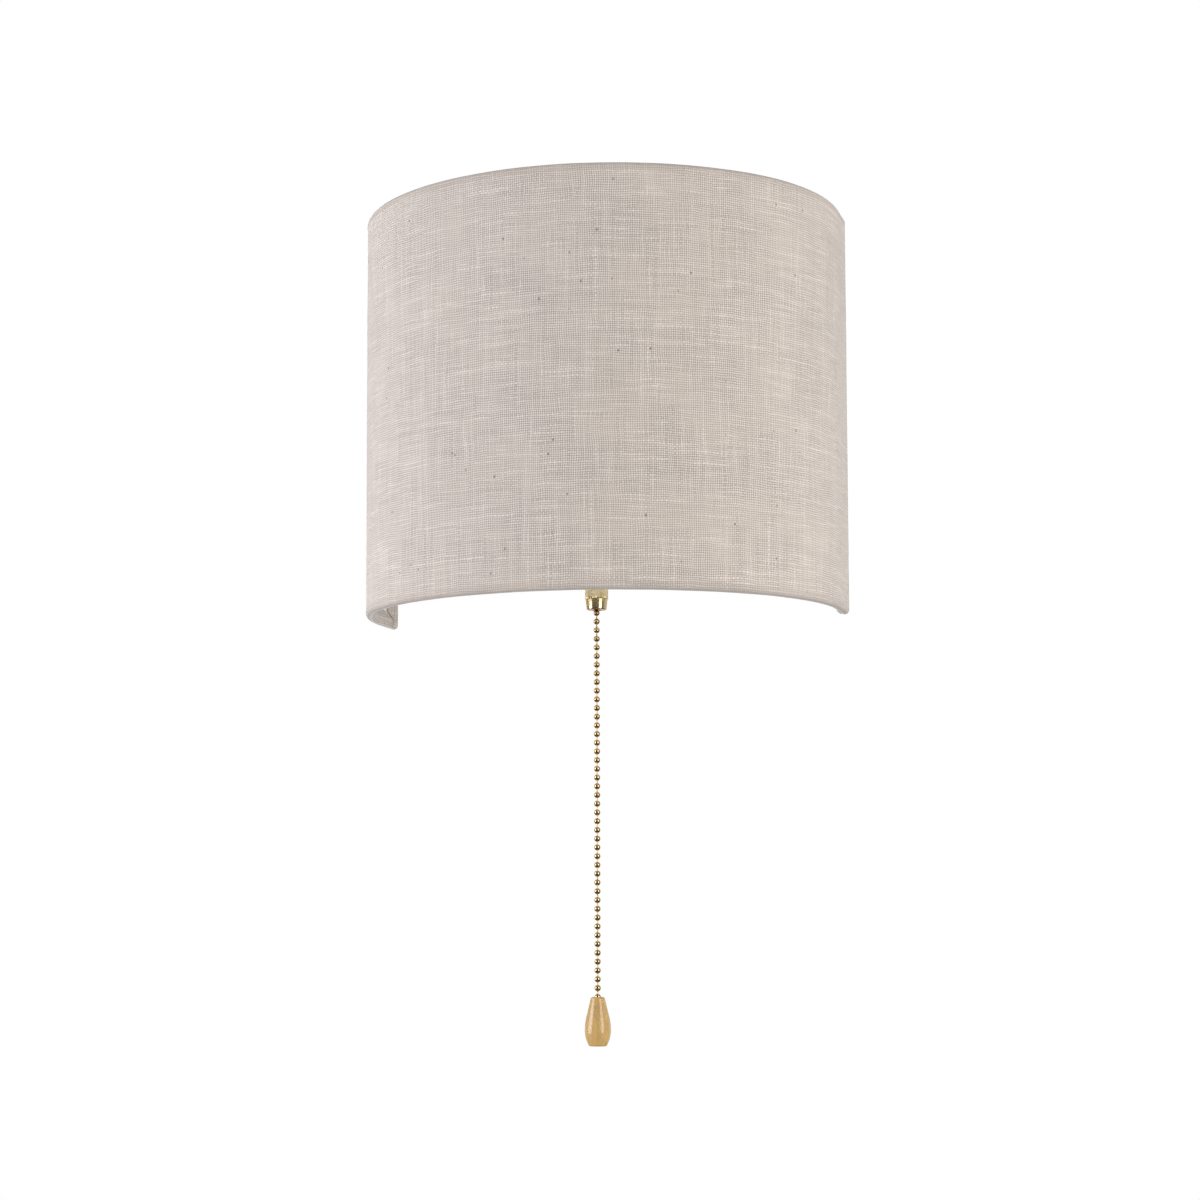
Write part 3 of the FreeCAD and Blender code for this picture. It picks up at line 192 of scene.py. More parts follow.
class Recipe:
    """A node tree being mixed, with short calls for the steps that most recipes share."""

    def __init__(self, owner):
        owner.use_nodes = True
        self.tree = owner.node_tree

    def put(self, socket, value):
        """Link a node's output to the socket, or write a plain value in it."""
        if isinstance(value, bpy.types.NodeSocket):
            self.tree.links.new(value, socket)
        elif isinstance(value, tuple) and len(value) == 3 and len(socket.default_value) == 4:
            socket.default_value = (*value, 1)
        else:
            socket.default_value = value

    def node(self, kind, inputs=None, **settings):
        """A new node with its settings, and with values or other nodes' outputs in its inputs."""
        made = self.tree.nodes.new("ShaderNode" + kind)
        for setting, value in settings.items():
            setattr(made, setting, value)
        for socket, value in (inputs or {}).items():
            self.put(made.inputs[socket], value)
        return made

    def math(self, operation, first, second=0.0):
        return self.node("Math", {0: first, 1: second}, operation=operation).outputs[0]

    def times(self, first, second):
        return self.math("MULTIPLY", first, second)

    def plus(self, first, second):
        return self.math("ADD", first, second)

    def ramp(self, value, low, high, start=0.0, end=1.0, way="SMOOTHSTEP"):
        """Start below low, end above high, and a smooth or an even way between them."""
        inputs = {"Value": value, "From Min": low, "From Max": high, "To Min": start, "To Max": end}
        return self.node("MapRange", inputs, interpolation_type=way).outputs["Result"]

    def mix(self, share, first, second):
        """A colour between two others."""
        return self.node("Mix", {0: share, 6: first, 7: second}, data_type="RGBA").outputs[2]

    def blend(self, share, first, second):
        """A number between two others."""
        return self.node("Mix", {0: share, 2: first, 3: second}).outputs[0]

    def parts(self, place):
        """The three numbers of a place."""
        return self.node("SeparateXYZ", {0: place}).outputs

    def stretch(self, place, *scales):
        """The same place with each direction scaled, which draws a pattern out along the others."""
        return self.node("VectorMath", {0: place, 1: scales}, operation="MULTIPLY").outputs[0]

    def cloud(self, place, scale, detail=2.0, roughness=0.5):
        """Soft random patches, from 0 to 1."""
        inputs = {"Vector": place, "Scale": scale, "Detail": detail, "Roughness": roughness}
        return self.node("TexNoise", inputs).outputs["Fac"]

    def cells(self, place, scale):
        """Distance to scattered points, and a random number for each point."""
        points = self.node("TexVoronoi", {"Vector": place, "Scale": scale}).outputs
        return points["Distance"], self.node("SeparateColor", {0: points["Color"]}).outputs[0]

    def stored(self, name):
        """A place that a mesh carries at each of its points, whole and as its three numbers."""
        place = self.node("Attribute", attribute_name=name).outputs["Vector"]
        return place, *self.parts(place)


class Finish(Recipe):
    """A surface finish being mixed from one shader."""

    def __init__(self, name, color, roughness, **even):
        self.material = bpy.data.materials.new(name)
        super().__init__(self.material)
        self.shader = self.tree.nodes["Principled BSDF"]
        self.shade(color, roughness)
        for socket, value in even.items():
            self.put(self.shader.inputs[socket.replace("_", " ")], value)
        self.place = self.node("TexCoord").outputs["Object"]

    def shade(self, color, roughness):
        self.put(self.shader.inputs["Base Color"], color)
        self.put(self.shader.inputs["Roughness"], roughness)

    def relief(self, height, depth, strength):
        """Let the light catch fine relief; depth is its real height in millimetres."""
        bump = self.node("Bump", {"Height": height, "Distance": depth * MM, "Strength": strength})
        self.put(self.shader.inputs["Normal"], bump.outputs["Normal"])


def tone(color, factor):
    """A lighter or darker tone of a colour."""
    return tuple(min(part * factor, 1.0) for part in color)


# %% [markdown]
# ## Studio light
# Two tall soft boxes make the sides of the shade a little brighter than its middle, as in the photograph.
# A weak one hangs above, two weak fills low at the sides light the lower rim, and the rest comes evenly
# from all round. Metal shows what surrounds it, so the room is bright behind the lamp and dim in front:
# that gives polished brass its dark band between two bright stripes.

# %% Soft boxes and low fills
LIGHT_AIM = Vector((0, -0.05, 0))
NEUTRAL, COOL = (1, 1, 1), (0.95, 0.985, 1.07)
# Each light's place and size in metres, its watts, its colour, and whether polished metal mirrors it
SOFT_BOXES = {
    "soft_box_left": ((-1.42, -0.88, 0.15), (1.1, 1.5), 21, COOL, True),
    "soft_box_right": ((1.4, -0.95, 0.15), (0.8, 1.5), 15, NEUTRAL, True),
    "soft_box_top": ((0.1, -0.5, 1.7), (1.2, 0.8), 5, NEUTRAL, True),
    "low_fill_left": ((-1.0, -0.3, -0.62), (0.5, 0.5), 5, NEUTRAL, False),
    "low_fill_right": ((1.0, -0.3, -0.62), (0.5, 0.5), 5, NEUTRAL, False),
}
for name, (place, size, power, tint, mirrored) in SOFT_BOXES.items():
    data = bpy.data.lights.new(name, "AREA")
    data.shape = "RECTANGLE"
    data.size, data.size_y = size
    data.energy = power
    data.color = tint
    lamp = add_object(name, data)
    lamp.visible_glossy = mirrored
    lamp.location = place
    lamp.rotation_euler = (LIGHT_AIM - Vector(place)).to_track_quat("-Z", "Y").to_euler()
print(len(SOFT_BOXES), "lights")

# %% The room, as each kind of ray meets it
FILL_FRONT, FILL_BEHIND = 0.44, 0.6
DIM_ROOM, BACKDROP_SHINE = 0.09, 0.6
FILL_TURNS = (-0.3, 0.5)  # front to back, how far round the room each strength changes into the other
SHINE_TURNS = (0.1, 0.6)


def build_room():
    """White for the camera, dim in front and bright behind for reflections, and an even fill."""
    world = bpy.data.worlds.new("studio")
    bpy.context.scene.world = world
    room = Recipe(world)
    background = room.tree.nodes["Background"]
    room.put(background.inputs["Color"], (1, 1, 1))
    ray = room.node("LightPath").outputs
    deep = room.parts(room.node("TexCoord").outputs["Generated"])[1]
    fill = room.ramp(deep, *FILL_TURNS, FILL_FRONT, FILL_BEHIND, way="LINEAR")
    mirrored = room.ramp(deep, *SHINE_TURNS, DIM_ROOM, BACKDROP_SHINE, way="LINEAR")
    glossy = room.blend(ray["Is Glossy Ray"], fill, mirrored)
    clear = room.blend(ray["Is Transmission Ray"], glossy, mirrored)
    room.put(background.inputs["Strength"], room.blend(ray["Is Camera Ray"], clear, 1.0))


build_room()
print("room ready")

# %% [markdown]
# ## Floor
# The floor lies as far below the lamp as in a real room, so the lamp can also be looked at from
# underneath. It is a pale disc that fades into the white of the room, so no edge or horizon shows.

# %% Lay the floor
FLOOR_DROP = 1.6
FLOOR_RADIUS = 3.2
FLOOR_FADE = (0.5, 0.8 * FLOOR_RADIUS)  # where the fade into white starts and ends
FLOOR_NEAR_WHITE = 0.55
LAMP_MIDDLE = -0.07


def floor_paint():
    """Pale matt paint near the lamp, which turns into the room's own white further out."""
    paint = Finish("floor_paint", (0.86, 0.86, 0.86), 0.9)
    away = paint.node("VectorMath", {0: paint.place}, operation="LENGTH").outputs["Value"]
    ray = paint.node("LightPath").outputs
    seen = paint.math("MAXIMUM", ray["Is Camera Ray"], ray["Is Transmission Ray"])
    white = paint.times(seen, paint.ramp(away, *FLOOR_FADE, FLOOR_NEAR_WHITE))
    surface = paint.shader.outputs[0]
    for share, strength in ((white, 1.0), (ray["Is Glossy Ray"], DIM_ROOM)):
        light = paint.node("Emission", {"Strength": strength})
        surface = paint.node("MixShader", {0: share, 1: surface, 2: light.outputs[0]}).outputs[0]
    paint.put(paint.tree.nodes["Material Output"].inputs["Surface"], surface)
    return paint.material


disc = bmesh.new()
bmesh.ops.create_circle(disc, cap_ends=True, segments=96, radius=FLOOR_RADIUS)
mesh = bpy.data.meshes.new("floor")
disc.to_mesh(mesh)
disc.free()
mesh.materials.append(floor_paint())
floor = add_object("floor", mesh)
floor.location = (0, LAMP_MIDDLE, -FLOOR_DROP)
floor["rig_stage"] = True
bpy.context.scene.view_settings.view_transform = "Standard"
print(f"floor {FLOOR_DROP:.2f} m below the wall plate")

# %% [markdown]
# ## Linen
# The shade's cloth is natural linen in plain weave, about nine threads to the centimetre. Flax spins
# unevenly, so each thread swells and thins, a few long slubs stand out lighter, and here and there a
# brown fleck of stalk is caught in the yarn. A picture of cloth could be wrapped round the shade, but a
# pattern worked out from thread spacing stays sharp at any size. Each point of the cloth carries its
# distance along the shade, up the cloth and from a rolled rim, so the threads follow the cloth. Light and
# shade are painted into the weave: each thread is lighter on its round back and darker where it dives
# under the crossing one. Painted shade also runs along each rolled rim, as a faint band over the wire
# and a dark line at the rim itself.

# %% Linen finish
THREAD_MM, WANDER_MM, YARN_APART = 1.1, 2.2, 1.87
LINEN = (0.505, 0.446, 0.402)
WARM_PATCH = (0.55, 0.48, 0.41)
# Colours of the painted shade along the rolled rims: a faint band over the wire, and a dark line at the
# rim.
WIRE_RIDGE_SHADE, RIM_ROLL_SHADE = (0.36, 0.30, 0.25), (0.26, 0.235, 0.22)
STALK = (0.17, 0.095, 0.05)


def linen():
    cloth = Finish("linen", LINEN, 0.9, Sheen_Weight=0.2, Sheen_Roughness=0.6, Specular_IOR_Level=0.2)
    times, plus, ramp = cloth.times, cloth.plus, cloth.ramp
    spot, along, up, rim = cloth.stored("cloth_mm")
    spot = cloth.stretch(spot, 1, 1, 0)
    wander = times(cloth.cloud(spot, 0.07), WANDER_MM)
    column, row = (cloth.math("DIVIDE", plus(run, wander), THREAD_MM) for run in (along, up))
    upright, level = cloth.math("FLOOR", column), cloth.math("FLOOR", row)

    def back(across):
        """The round back of a thread, from its edge to its middle."""
        return cloth.math("ABSOLUTE", cloth.math("SINE", times(across, math.pi)))

    def yarn(number, length, draw, seed):
        """How a yarn varies: each has its own thickness, which drifts slowly along it."""
        place = {0: times(number, YARN_APART), 1: times(length, draw), 2: seed}
        return cloth.cloud(cloth.node("CombineXYZ", place).outputs[0], 1.0, 3.0, 0.6)

    def over(number, length, phase):
        """1 where a yarn passes over the crossing one, 0 where it dives under, and a wave between."""
        turns = plus(plus(number, length), phase)
        return ramp(cloth.math("COSINE", times(turns, math.pi)), -1.0, 1.0)

    warp = times(back(column), over(upright, row, -0.5))
    weft = times(back(row), over(level, column, 0.5))
    on_top = cloth.math("GREATER_THAN", weft, warp)
    thick = cloth.blend(on_top, yarn(upright, up, 0.02, 2.0), yarn(level, along, 0.035, 9.0))
    slub = cloth.blend(on_top, ramp(yarn(upright, up, 0.015, 17.0), 0.56, 0.72),
                       ramp(yarn(level, along, 0.025, 23.0), 0.53, 0.68))
    weave = cloth.math("MAXIMUM", warp, weft)
    fleck, kind = cloth.cells(cloth.stretch(spot, 0.13, 0.09, 0), 1.0)
    found = times(ramp(fleck, 0.045, 0.08, 1.0, 0.0), ramp(kind, 0.5, 0.54))

    # Painted light and shade: each thread lighter on its round back, darker where it dives under the
    # other.
    color = cloth.mix(ramp(weave, 0.1, 0.85), tone(LINEN, 0.4), tone(LINEN, 1.22))
    for share, over_color in (
            (ramp(thick, 0.5, 0.3, 0.0, 0.5), tone(LINEN, 0.6)),
            (ramp(thick, 0.5, 0.7, 0.0, 0.4), tone(LINEN, 1.4)),
            (times(slub, 0.5), tone(LINEN, 1.5)),
            (ramp(cloth.cloud(spot, 0.035, 3.0), 0.35, 0.7, 0.0, 0.25), WARM_PATCH),
            # Painted shade: a faint band over the wire and a dark line along each rolled rim.
            (ramp(rim, 3.4, 4.8, 0.33, 0.0), WIRE_RIDGE_SHADE),
            (ramp(rim, 0.3, 2.2, 0.78, 0.0), RIM_ROLL_SHADE),
            (times(found, 0.75), STALK)):
        color = cloth.mix(share, color, over_color)
    cloth.shade(color, ramp(slub, 0.0, 1.0, 0.92, 0.8))
    fuzz = times(cloth.cloud(spot, 3.2), 0.35)
    cloth.relief(plus(plus(weave, times(slub, 0.6)), fuzz), 0.07, 0.7)
    return cloth.material


LINEN_CLOTH = linen()
print("linen with", round(10 / THREAD_MM), "threads to the centimetre")

# %% [markdown]
# ## Papers, plastics and paint
# Behind the linen is a stiff ivory sheet. The wires and the wall plate are coated white: powder coat
# dries with a faint orange-peel skin, which breaks up its shine. Moulded plastics get faint flow clouds,
# and rubber a dull bloom.

# %% Finishes for sheet, coatings, plastic and rubber
SKIN_FINER = 14


def mottled(name, color, roughness, scale, depth, spread=0.08, **even):
    """A plain surface whose tone and shine drift a little, over a fine skin."""
    coat = Finish(name, color, roughness, **even)
    drift = coat.ramp(coat.cloud(coat.place, scale, 3.0), *SPAN)
    skin = coat.cloud(coat.place, SKIN_FINER * scale)
    coat.shade(coat.mix(drift, tone(color, 1 - spread), tone(color, 1 + spread / 2)),
               coat.ramp(skin, *SPAN, roughness * 0.85, min(roughness * 1.15, 1.0)))
    coat.relief(skin, depth, 0.6)
    return coat.material


LINER = mottled("liner_sheet", (0.84, 0.80, 0.72), 0.6, 60, 0.02, 0.03)
WIRE_COAT = mottled("wire_coat", (0.80, 0.80, 0.78), 0.38, 90, 0.03)
PLATE_PAINT = mottled("plate_paint", (0.83, 0.83, 0.815), 0.42, 110, 0.035, 0.02, Coat_Weight=0.15)
GROMMET_RUBBER = mottled("grommet_rubber", (0.028, 0.028, 0.03), 0.68, 200, 0.04, 0.4)
BLOCK_PLASTIC = mottled("block_plastic", (0.74, 0.71, 0.63), 0.42, 150, 0.02)
LEAD_SKIN = mottled("lead_skin", (0.66, 0.62, 0.54), 0.5, 260, 0.03)
DARK_RESIN = mottled("dark_resin", (0.035, 0.024, 0.018), 0.3, 190, 0.015, 0.45, Coat_Weight=0.3)
SEAL_GLASS = mottled("seal_glass", (0.012, 0.012, 0.016), 0.12, 300, 0.01, 0.3, Coat_Weight=0.6)

# %% [markdown]
# ## Metals
# Brass, plated steel and soft aluminium differ in colour and in how evenly they shine. Fine marks run
# round turned pieces, so the scratch pattern is squeezed along the height. A dull film dims the polish in
# places, without a visible edge.

# %% Metal finishes
TURNING_MARKS = (60, 60, 2600)


def metal(name, color, roughness, film):
    """Bare metal with turning marks and a patchy film."""
    bare = Finish(name, color, roughness, Metallic=1.0)
    patches = bare.ramp(bare.cloud(bare.place, 230, 3.0), 0.42, 0.72)
    marks = bare.cloud(bare.stretch(bare.place, *TURNING_MARKS), 1.0, 3.0)
    grain = bare.ramp(marks, *SPAN, roughness * 0.8, roughness * 1.3)
    bare.shade(bare.mix(bare.times(patches, film), color, tone(color, 0.62)),
               bare.plus(bare.times(patches, film * 0.4), grain))
    bare.relief(marks, 0.02, 0.35)
    return bare.material


POLISHED_BRASS = metal("polished_brass", (0.90, 0.71, 0.40), 0.14, 0.3)
NUT_BRASS = metal("nut_brass", (0.95, 0.81, 0.50), 0.3, 0.2)
CHAIN_BRASS = metal("chain_brass", (0.76, 0.54, 0.27), 0.15, 0.4)
CONTACT_BRASS = metal("contact_brass", (0.76, 0.56, 0.26), 0.26, 0.35)
EARTH_BRASS = metal("earth_brass", (0.70, 0.52, 0.24), 0.3, 0.4)
ZINC_STEEL = metal("zinc_steel", (0.60, 0.60, 0.585), 0.34, 0.3)
DRAWN_STEEL = metal("drawn_steel", (0.64, 0.64, 0.63), 0.24, 0.2)
CAP_ALUMINIUM = metal("cap_aluminium", (0.78, 0.78, 0.78), 0.3, 0.2)

# %% [markdown]
# ## Porcelain and opal glass
# The lampholder is white porcelain: its clear glaze levels into long soft ripples, and small dark specks
# of iron show through. The bulb's opal glass scatters light in its skin, so it looks milky and slightly
# warm, with a smooth wet shine.

# %% Porcelain and opal finishes
IRON_SPECK = (0.22, 0.16, 0.11)


def porcelain():
    glaze = Finish("porcelain", (0.80, 0.79, 0.75), 0.22, Coat_Weight=0.7, Coat_Roughness=0.06)
    pool = glaze.cloud(glaze.place, 70)
    speck, kind = glaze.cells(glaze.place, 260)
    dots = glaze.times(glaze.ramp(speck, 0.05, 0.09, 1.0, 0.0), glaze.ramp(kind, 0.8, 0.84))
    color = glaze.mix(glaze.ramp(pool, *SPAN), (0.75, 0.745, 0.70), (0.82, 0.815, 0.785))
    glaze.shade(glaze.mix(glaze.times(dots, 0.7), color, IRON_SPECK), glaze.ramp(pool, *SPAN, 0.16, 0.3))
    glaze.relief(pool, 0.12, 0.5)
    return glaze.material


def opal():
    glass = Finish("opal_glass", (0.84, 0.83, 0.80), 0.12, Coat_Weight=0.5, Coat_Roughness=0.04,
                   Subsurface_Weight=0.25, Subsurface_Scale=0.003)
    milk = glass.cloud(glass.place, 45, 3.0)
    glass.shade(glass.mix(glass.ramp(milk, *SPAN), (0.82, 0.81, 0.775), (0.865, 0.86, 0.84)),
                glass.ramp(milk, *SPAN, 0.09, 0.17))
    glass.relief(milk, 0.1, 0.3)
    return glass.material


PORCELAIN = porcelain()
OPAL_GLASS = opal()

# %% [markdown]
# ## Lacquered wood
# The drop is a pale hardwood, stained honey and lacquered. Growth rings cut lengthwise make soft bands
# from top to bottom, with short dark pores along them. The lacquer is a clear coat over the wood, which
# gives the sharp upright highlights.

# %% Wood finish
HONEY, HONEY_DEEP, PORE = (0.49, 0.305, 0.102), (0.42, 0.225, 0.065), (0.26, 0.125, 0.04)
WAVER_GRAIN, BAND_GRAIN, PORE_GRAIN = (40, 40, 22), (620, 620, 26), (2600, 2600, 210)


def lacquered_wood():
    wood = Finish("lacquered_wood", HONEY, 0.42, Coat_Weight=0.9, Coat_Roughness=0.09)
    waver = wood.cloud(wood.stretch(wood.place, *WAVER_GRAIN), 1.0)
    bands = wood.cloud(wood.stretch(wood.place, *BAND_GRAIN), 1.0, 3.0, 0.6)
    pores = wood.ramp(wood.cloud(wood.stretch(wood.place, *PORE_GRAIN), 1.0), 0.62, 0.74)
    color = wood.mix(wood.ramp(bands, 0.3, 0.72), tone(HONEY, 1.1), tone(HONEY, 0.86))
    color = wood.mix(wood.ramp(waver, 0.35, 0.7, 0.0, 0.2), color, HONEY_DEEP)
    wood.shade(wood.mix(wood.times(pores, 0.3), color, PORE), wood.ramp(bands, *SPAN, 0.36, 0.5))
    wood.relief(wood.math("SUBTRACT", bands, pores), 0.02, 0.25)
    return wood.material


KNOB_WOOD = lacquered_wood()
print(len(bpy.data.materials), "finishes mixed")

# %% [markdown]
# ## From outline to piece
# One helper rounds a corner of a drawn outline, because no real edge is perfectly sharp and a rounded one
# catches a thin line of light. Another turns an outline about an upright axis, as a lathe does. Its shape
# may also change round the axis, which is how a knurl or a screw thread is cut.

# %% Outline helpers
MOST_OF_SIDE = 0.45  # the share of a side that one rounded corner may take up


def rounded(before, corner, after, radius, steps=4):
    """Points round one corner of an outline, which then no longer comes to a point."""
    here = Vector(corner)
    start, end = (here + side.normalized() * min(radius, MOST_OF_SIDE * side.length)
                  for side in (Vector(before) - here, Vector(after) - here))
    return [tuple(start * (1 - share) ** 2 + here * 2 * share * (1 - share) + end * share**2)
            for share in (step / steps for step in range(steps + 1))]


def curved(start, end, radius, steps=10, side=1):
    """Points on the short arc from start to end; side 1 bulges to the right of the way there."""
    start, end = Vector(start), Vector(end)
    half = (end - start) / 2
    right = Vector((half.y, -half.x)).normalized() * side
    middle = (start + end) / 2 - right * math.sqrt(radius**2 - half.length**2)
    turn = (start - middle).angle_signed(end - middle)
    return [tuple(middle + Matrix.Rotation(-turn * step / steps, 2) @ (start - middle))
            for step in range(steps + 1)]


def lathe(outline, steps=96, closed=True, shape=None):
    """Points and faces of an outline of (radius, height) turned about the upright axis."""
    points = []
    for radius, height in outline:
        for angle in np.linspace(0, 2 * math.pi, steps, endpoint=False):
            reach = shape(radius, height, angle) if shape else radius
            points.append((reach * math.cos(angle), reach * math.sin(angle), height))
    faces = []
    for ring in range(len(outline) if closed else len(outline) - 1):
        here, above = ring * steps, (ring + 1) % len(outline) * steps
        for step in range(steps):
            after = (step + 1) % steps
            faces.append((here + step, here + after, above + after, above + step))
    return points, faces


def many(shape, places):
    """Copies of one shape at several places, as one set of points and faces."""
    points, faces = [], []
    for place in places:
        start = len(points)
        points += [tuple(Vector(point) + Vector(place)) for point in shape[0]]
        faces += [tuple(start + corner for corner in face) for face in shape[1]]
    return points, faces


# %% Mesh helpers
SAME_POINT, SAME_EDGE = 0.0005, 0.0002  # closer than this, two points or an edge's ends are one


def finished(draft, name, finish, nodes, slot, crease, body=None):
    """Make a draft into a named piece that stands for measured nodes, and rides on their body."""
    bmesh.ops.recalc_face_normals(draft, faces=draft.faces)
    mesh = bpy.data.meshes.new(name)
    draft.to_mesh(mesh)
    draft.free()
    mesh.shade_smooth()
    mesh.set_sharp_from_angle(angle=math.radians(crease))
    mesh.materials.append(finish)
    made = add_object(name, mesh)
    flats = made.modifiers.new("flats_stay_flat", "WEIGHTED_NORMAL")
    flats.mode = "FACE_AREA"
    flats.keep_sharp = True
    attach(made, body or frame["nodes"][nodes[0]]["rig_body"])
    if nodes:
        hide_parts(*nodes)
    print(f"{name}: {len(mesh.polygons)} faces")
    return made


def piece(name, shape, finish, nodes, slot, place=(0, 0, 0), crease=35, body=None):
    """A named piece from points in millimetres."""
    draft = bmesh.new()
    spots = [draft.verts.new((Vector(point) + Vector(place)) * MM) for point in shape[0]]
    for face in shape[1]:
        draft.faces.new([spots[corner] for corner in face])
    bmesh.ops.remove_doubles(draft, verts=draft.verts, dist=SAME_POINT * MM)
    bmesh.ops.dissolve_degenerate(draft, edges=draft.edges, dist=SAME_EDGE * MM)
    return finished(draft, name, finish, nodes, slot, crease, body)


def turned(node, how, outline, finish, slot, place, steps=96, crease=35, closed=True, shape=None):
    """The same for one measured piece, turned from its outline about an upright axis."""
    piece(f"{node}_{how}", lathe(outline, steps, closed, shape), finish, [node], slot, place, crease)


# %% [markdown]
# ## The bow of the shade
# Seen from above, the shade is a shallow bow on two short straight returns that meet the wall. Its arcs
# run smoothly into each other: a tight one at each shoulder and a wide one across the front. Each sheet
# follows this line at its own distance inside it.

# %% The shade's plan
RETURN_DEPTH = 22
SHOULDER = math.radians(45)
BOW_DEPTH = -shade_low.y - RETURN_DEPTH
SHOULDER_SLOPE = math.tan(SHOULDER / 2)
SIDE_RADIUS = (BOW_DEPTH - HALF_WIDTH * SHOULDER_SLOPE) / (1 - SHOULDER_SLOPE)
FRONT_RADIUS = SIDE_RADIUS + (HALF_WIDTH - SIDE_RADIUS) / math.sin(SHOULDER)
RETURN_RUN = RETURN_DEPTH + REAR
SIDE_RUN = SIDE_RADIUS * SHOULDER
FRONT_RUN = FRONT_RADIUS * (math.pi / 2 - SHOULDER)
HALF_RUN = RETURN_RUN + SIDE_RUN + FRONT_RUN


def bow(along, inset=0.0):
    """A spot this far along the bow from its left rear edge, and so far inside it."""
    side = -1 if along < HALF_RUN else 1
    run = min(along, 2 * HALF_RUN - along)
    if run < RETURN_RUN:
        return side * (HALF_WIDTH - inset), REAR - run
    if run < RETURN_RUN + SIDE_RUN:
        radius, middle = SIDE_RADIUS, Vector((HALF_WIDTH - SIDE_RADIUS, -RETURN_DEPTH))
        turn = (run - RETURN_RUN) / radius
    else:
        radius, middle = FRONT_RADIUS, Vector((0, FRONT_RADIUS - BOW_DEPTH - RETURN_DEPTH))
        turn = SHOULDER + (run - RETURN_RUN - SIDE_RUN) / radius
    spot = middle + Vector((math.cos(turn), -math.sin(turn))) * (radius - inset)
    return side * spot.x, spot.y


print(f"bow: shoulders {SIDE_RADIUS:.1f} mm, front {FRONT_RADIUS:.1f} mm, {2 * HALF_RUN:.0f} mm round")

# %% [markdown]
# ## Linen over the frame
# At the top and bottom the strip of linen rolls over a wire and is glued down inside as a narrow hem. It
# could be a plain sheet, but the soft rolled rim is what the eye reads as a hand-made shade. So the
# cloth's section is drawn in full and carried along the bow: hem, roll, a slight ridge over the wire,
# wall, and the same again at the other rim.

# %% Section of the linen
CLOTH_THICK = 0.6
ROLL_RADIUS, ROLL_CENTRE = 2.0, 2.35
LOW_ROLL, HIGH_ROLL = SHADE_BOTTOM + ROLL_CENTRE, SHADE_TOP - ROLL_CENTRE
HEM, HEM_CLEAR, HEM_GLUED, HEM_LEVEL = 9.0, 1.6, 1.58, 0.8


def hem_inset(beyond):
    """How far inside the cloth's face a hem lies: clear of the wire first, then glued to the sheet."""
    clear = ROLL_CENTRE + ROLL_RADIUS
    share = eased_share((beyond - HEM_CLEAR) / (HEM - ROLL_CENTRE - HEM_CLEAR - HEM_LEVEL))
    return clear + (HEM_GLUED - clear) * share


def linen_section():
    """The cloth's middle line as (inset, height), from the lower hem's edge to the upper hem's edge."""
    def roll(centre, way):
        return [(ROLL_CENTRE + ROLL_RADIUS * math.cos(a), centre + way * ROLL_RADIUS * math.sin(a))
                for a in np.linspace(0, math.pi, 15)]

    low_hem = [(hem_inset(height - LOW_ROLL), height)
               for height in np.linspace(SHADE_BOTTOM + HEM, LOW_ROLL, 14)[:-1]]
    wall = [(ROLL_CENTRE - ROLL_RADIUS, height) for height in np.linspace(LOW_ROLL, HIGH_ROLL, 106)[1:-1]]
    high_hem = [(hem_inset(HIGH_ROLL - height), height)
                for height in np.linspace(HIGH_ROLL, SHADE_TOP - HEM, 14)[1:]]
    return low_hem + roll(LOW_ROLL, -1) + wall + roll(HIGH_ROLL, 1)[::-1] + high_hem


# %% Cloth helpers
RIDGE_REACH, RIDGE_EASE, RIDGE_PROUD = 4.6, 1.2, 0.22
NOISE_SLICE = 3.7


def past_ridge(near_rim, near_side):
    """0 on the ridge that the wires press into the cloth from behind, and 1 on the plain wall."""
    return eased_share((min(near_rim, near_side) - RIDGE_REACH) / RIDGE_EASE + 1)


def ripple(along, up, size, reach):
    """A small unevenness of stretched cloth."""
    return size * noise.noise(Vector((along / reach, up / reach, NOISE_SLICE)))


def cloth_mesh(name, rows, threads, width):
    """A sheet from rows of points, with the linen's finish and each point's place on the cloth."""
    mesh = bpy.data.meshes.new(name)
    corners = [row * width + step for row in range(len(rows) // width - 1) for step in range(width - 1)]
    faces = [(first, first + 1, first + width + 1, first + width) for first in corners]
    mesh.from_pydata([Vector(point) * MM for point in rows], [], faces)
    stored = mesh.attributes.new("cloth_mm", "FLOAT_VECTOR", "POINT")
    stored.data.foreach_set("vector", np.array(threads, np.float32).ravel())
    mesh.shade_smooth()
    mesh.materials.append(LINEN_CLOTH)
    sheet = add_object(name, mesh)
    solid = sheet.modifiers.new("thickness", "SOLIDIFY")
    solid.thickness = CLOTH_THICK * MM
    solid.offset = 0
    solid.use_even_offset = True
    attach(sheet, "shade")
    return sheet


# %% Lay the linen
linen_line = linen_section()
STEPS_UP = np.linalg.norm(np.diff(np.array(linen_line), axis=0), axis=1)
UP_THE_CLOTH = np.concatenate([[0], np.cumsum(STEPS_UP)])
CLOTH_UP = float(UP_THE_CLOTH[-1])
CLOTH_STEPS = 300
FRAY_LINE = 90


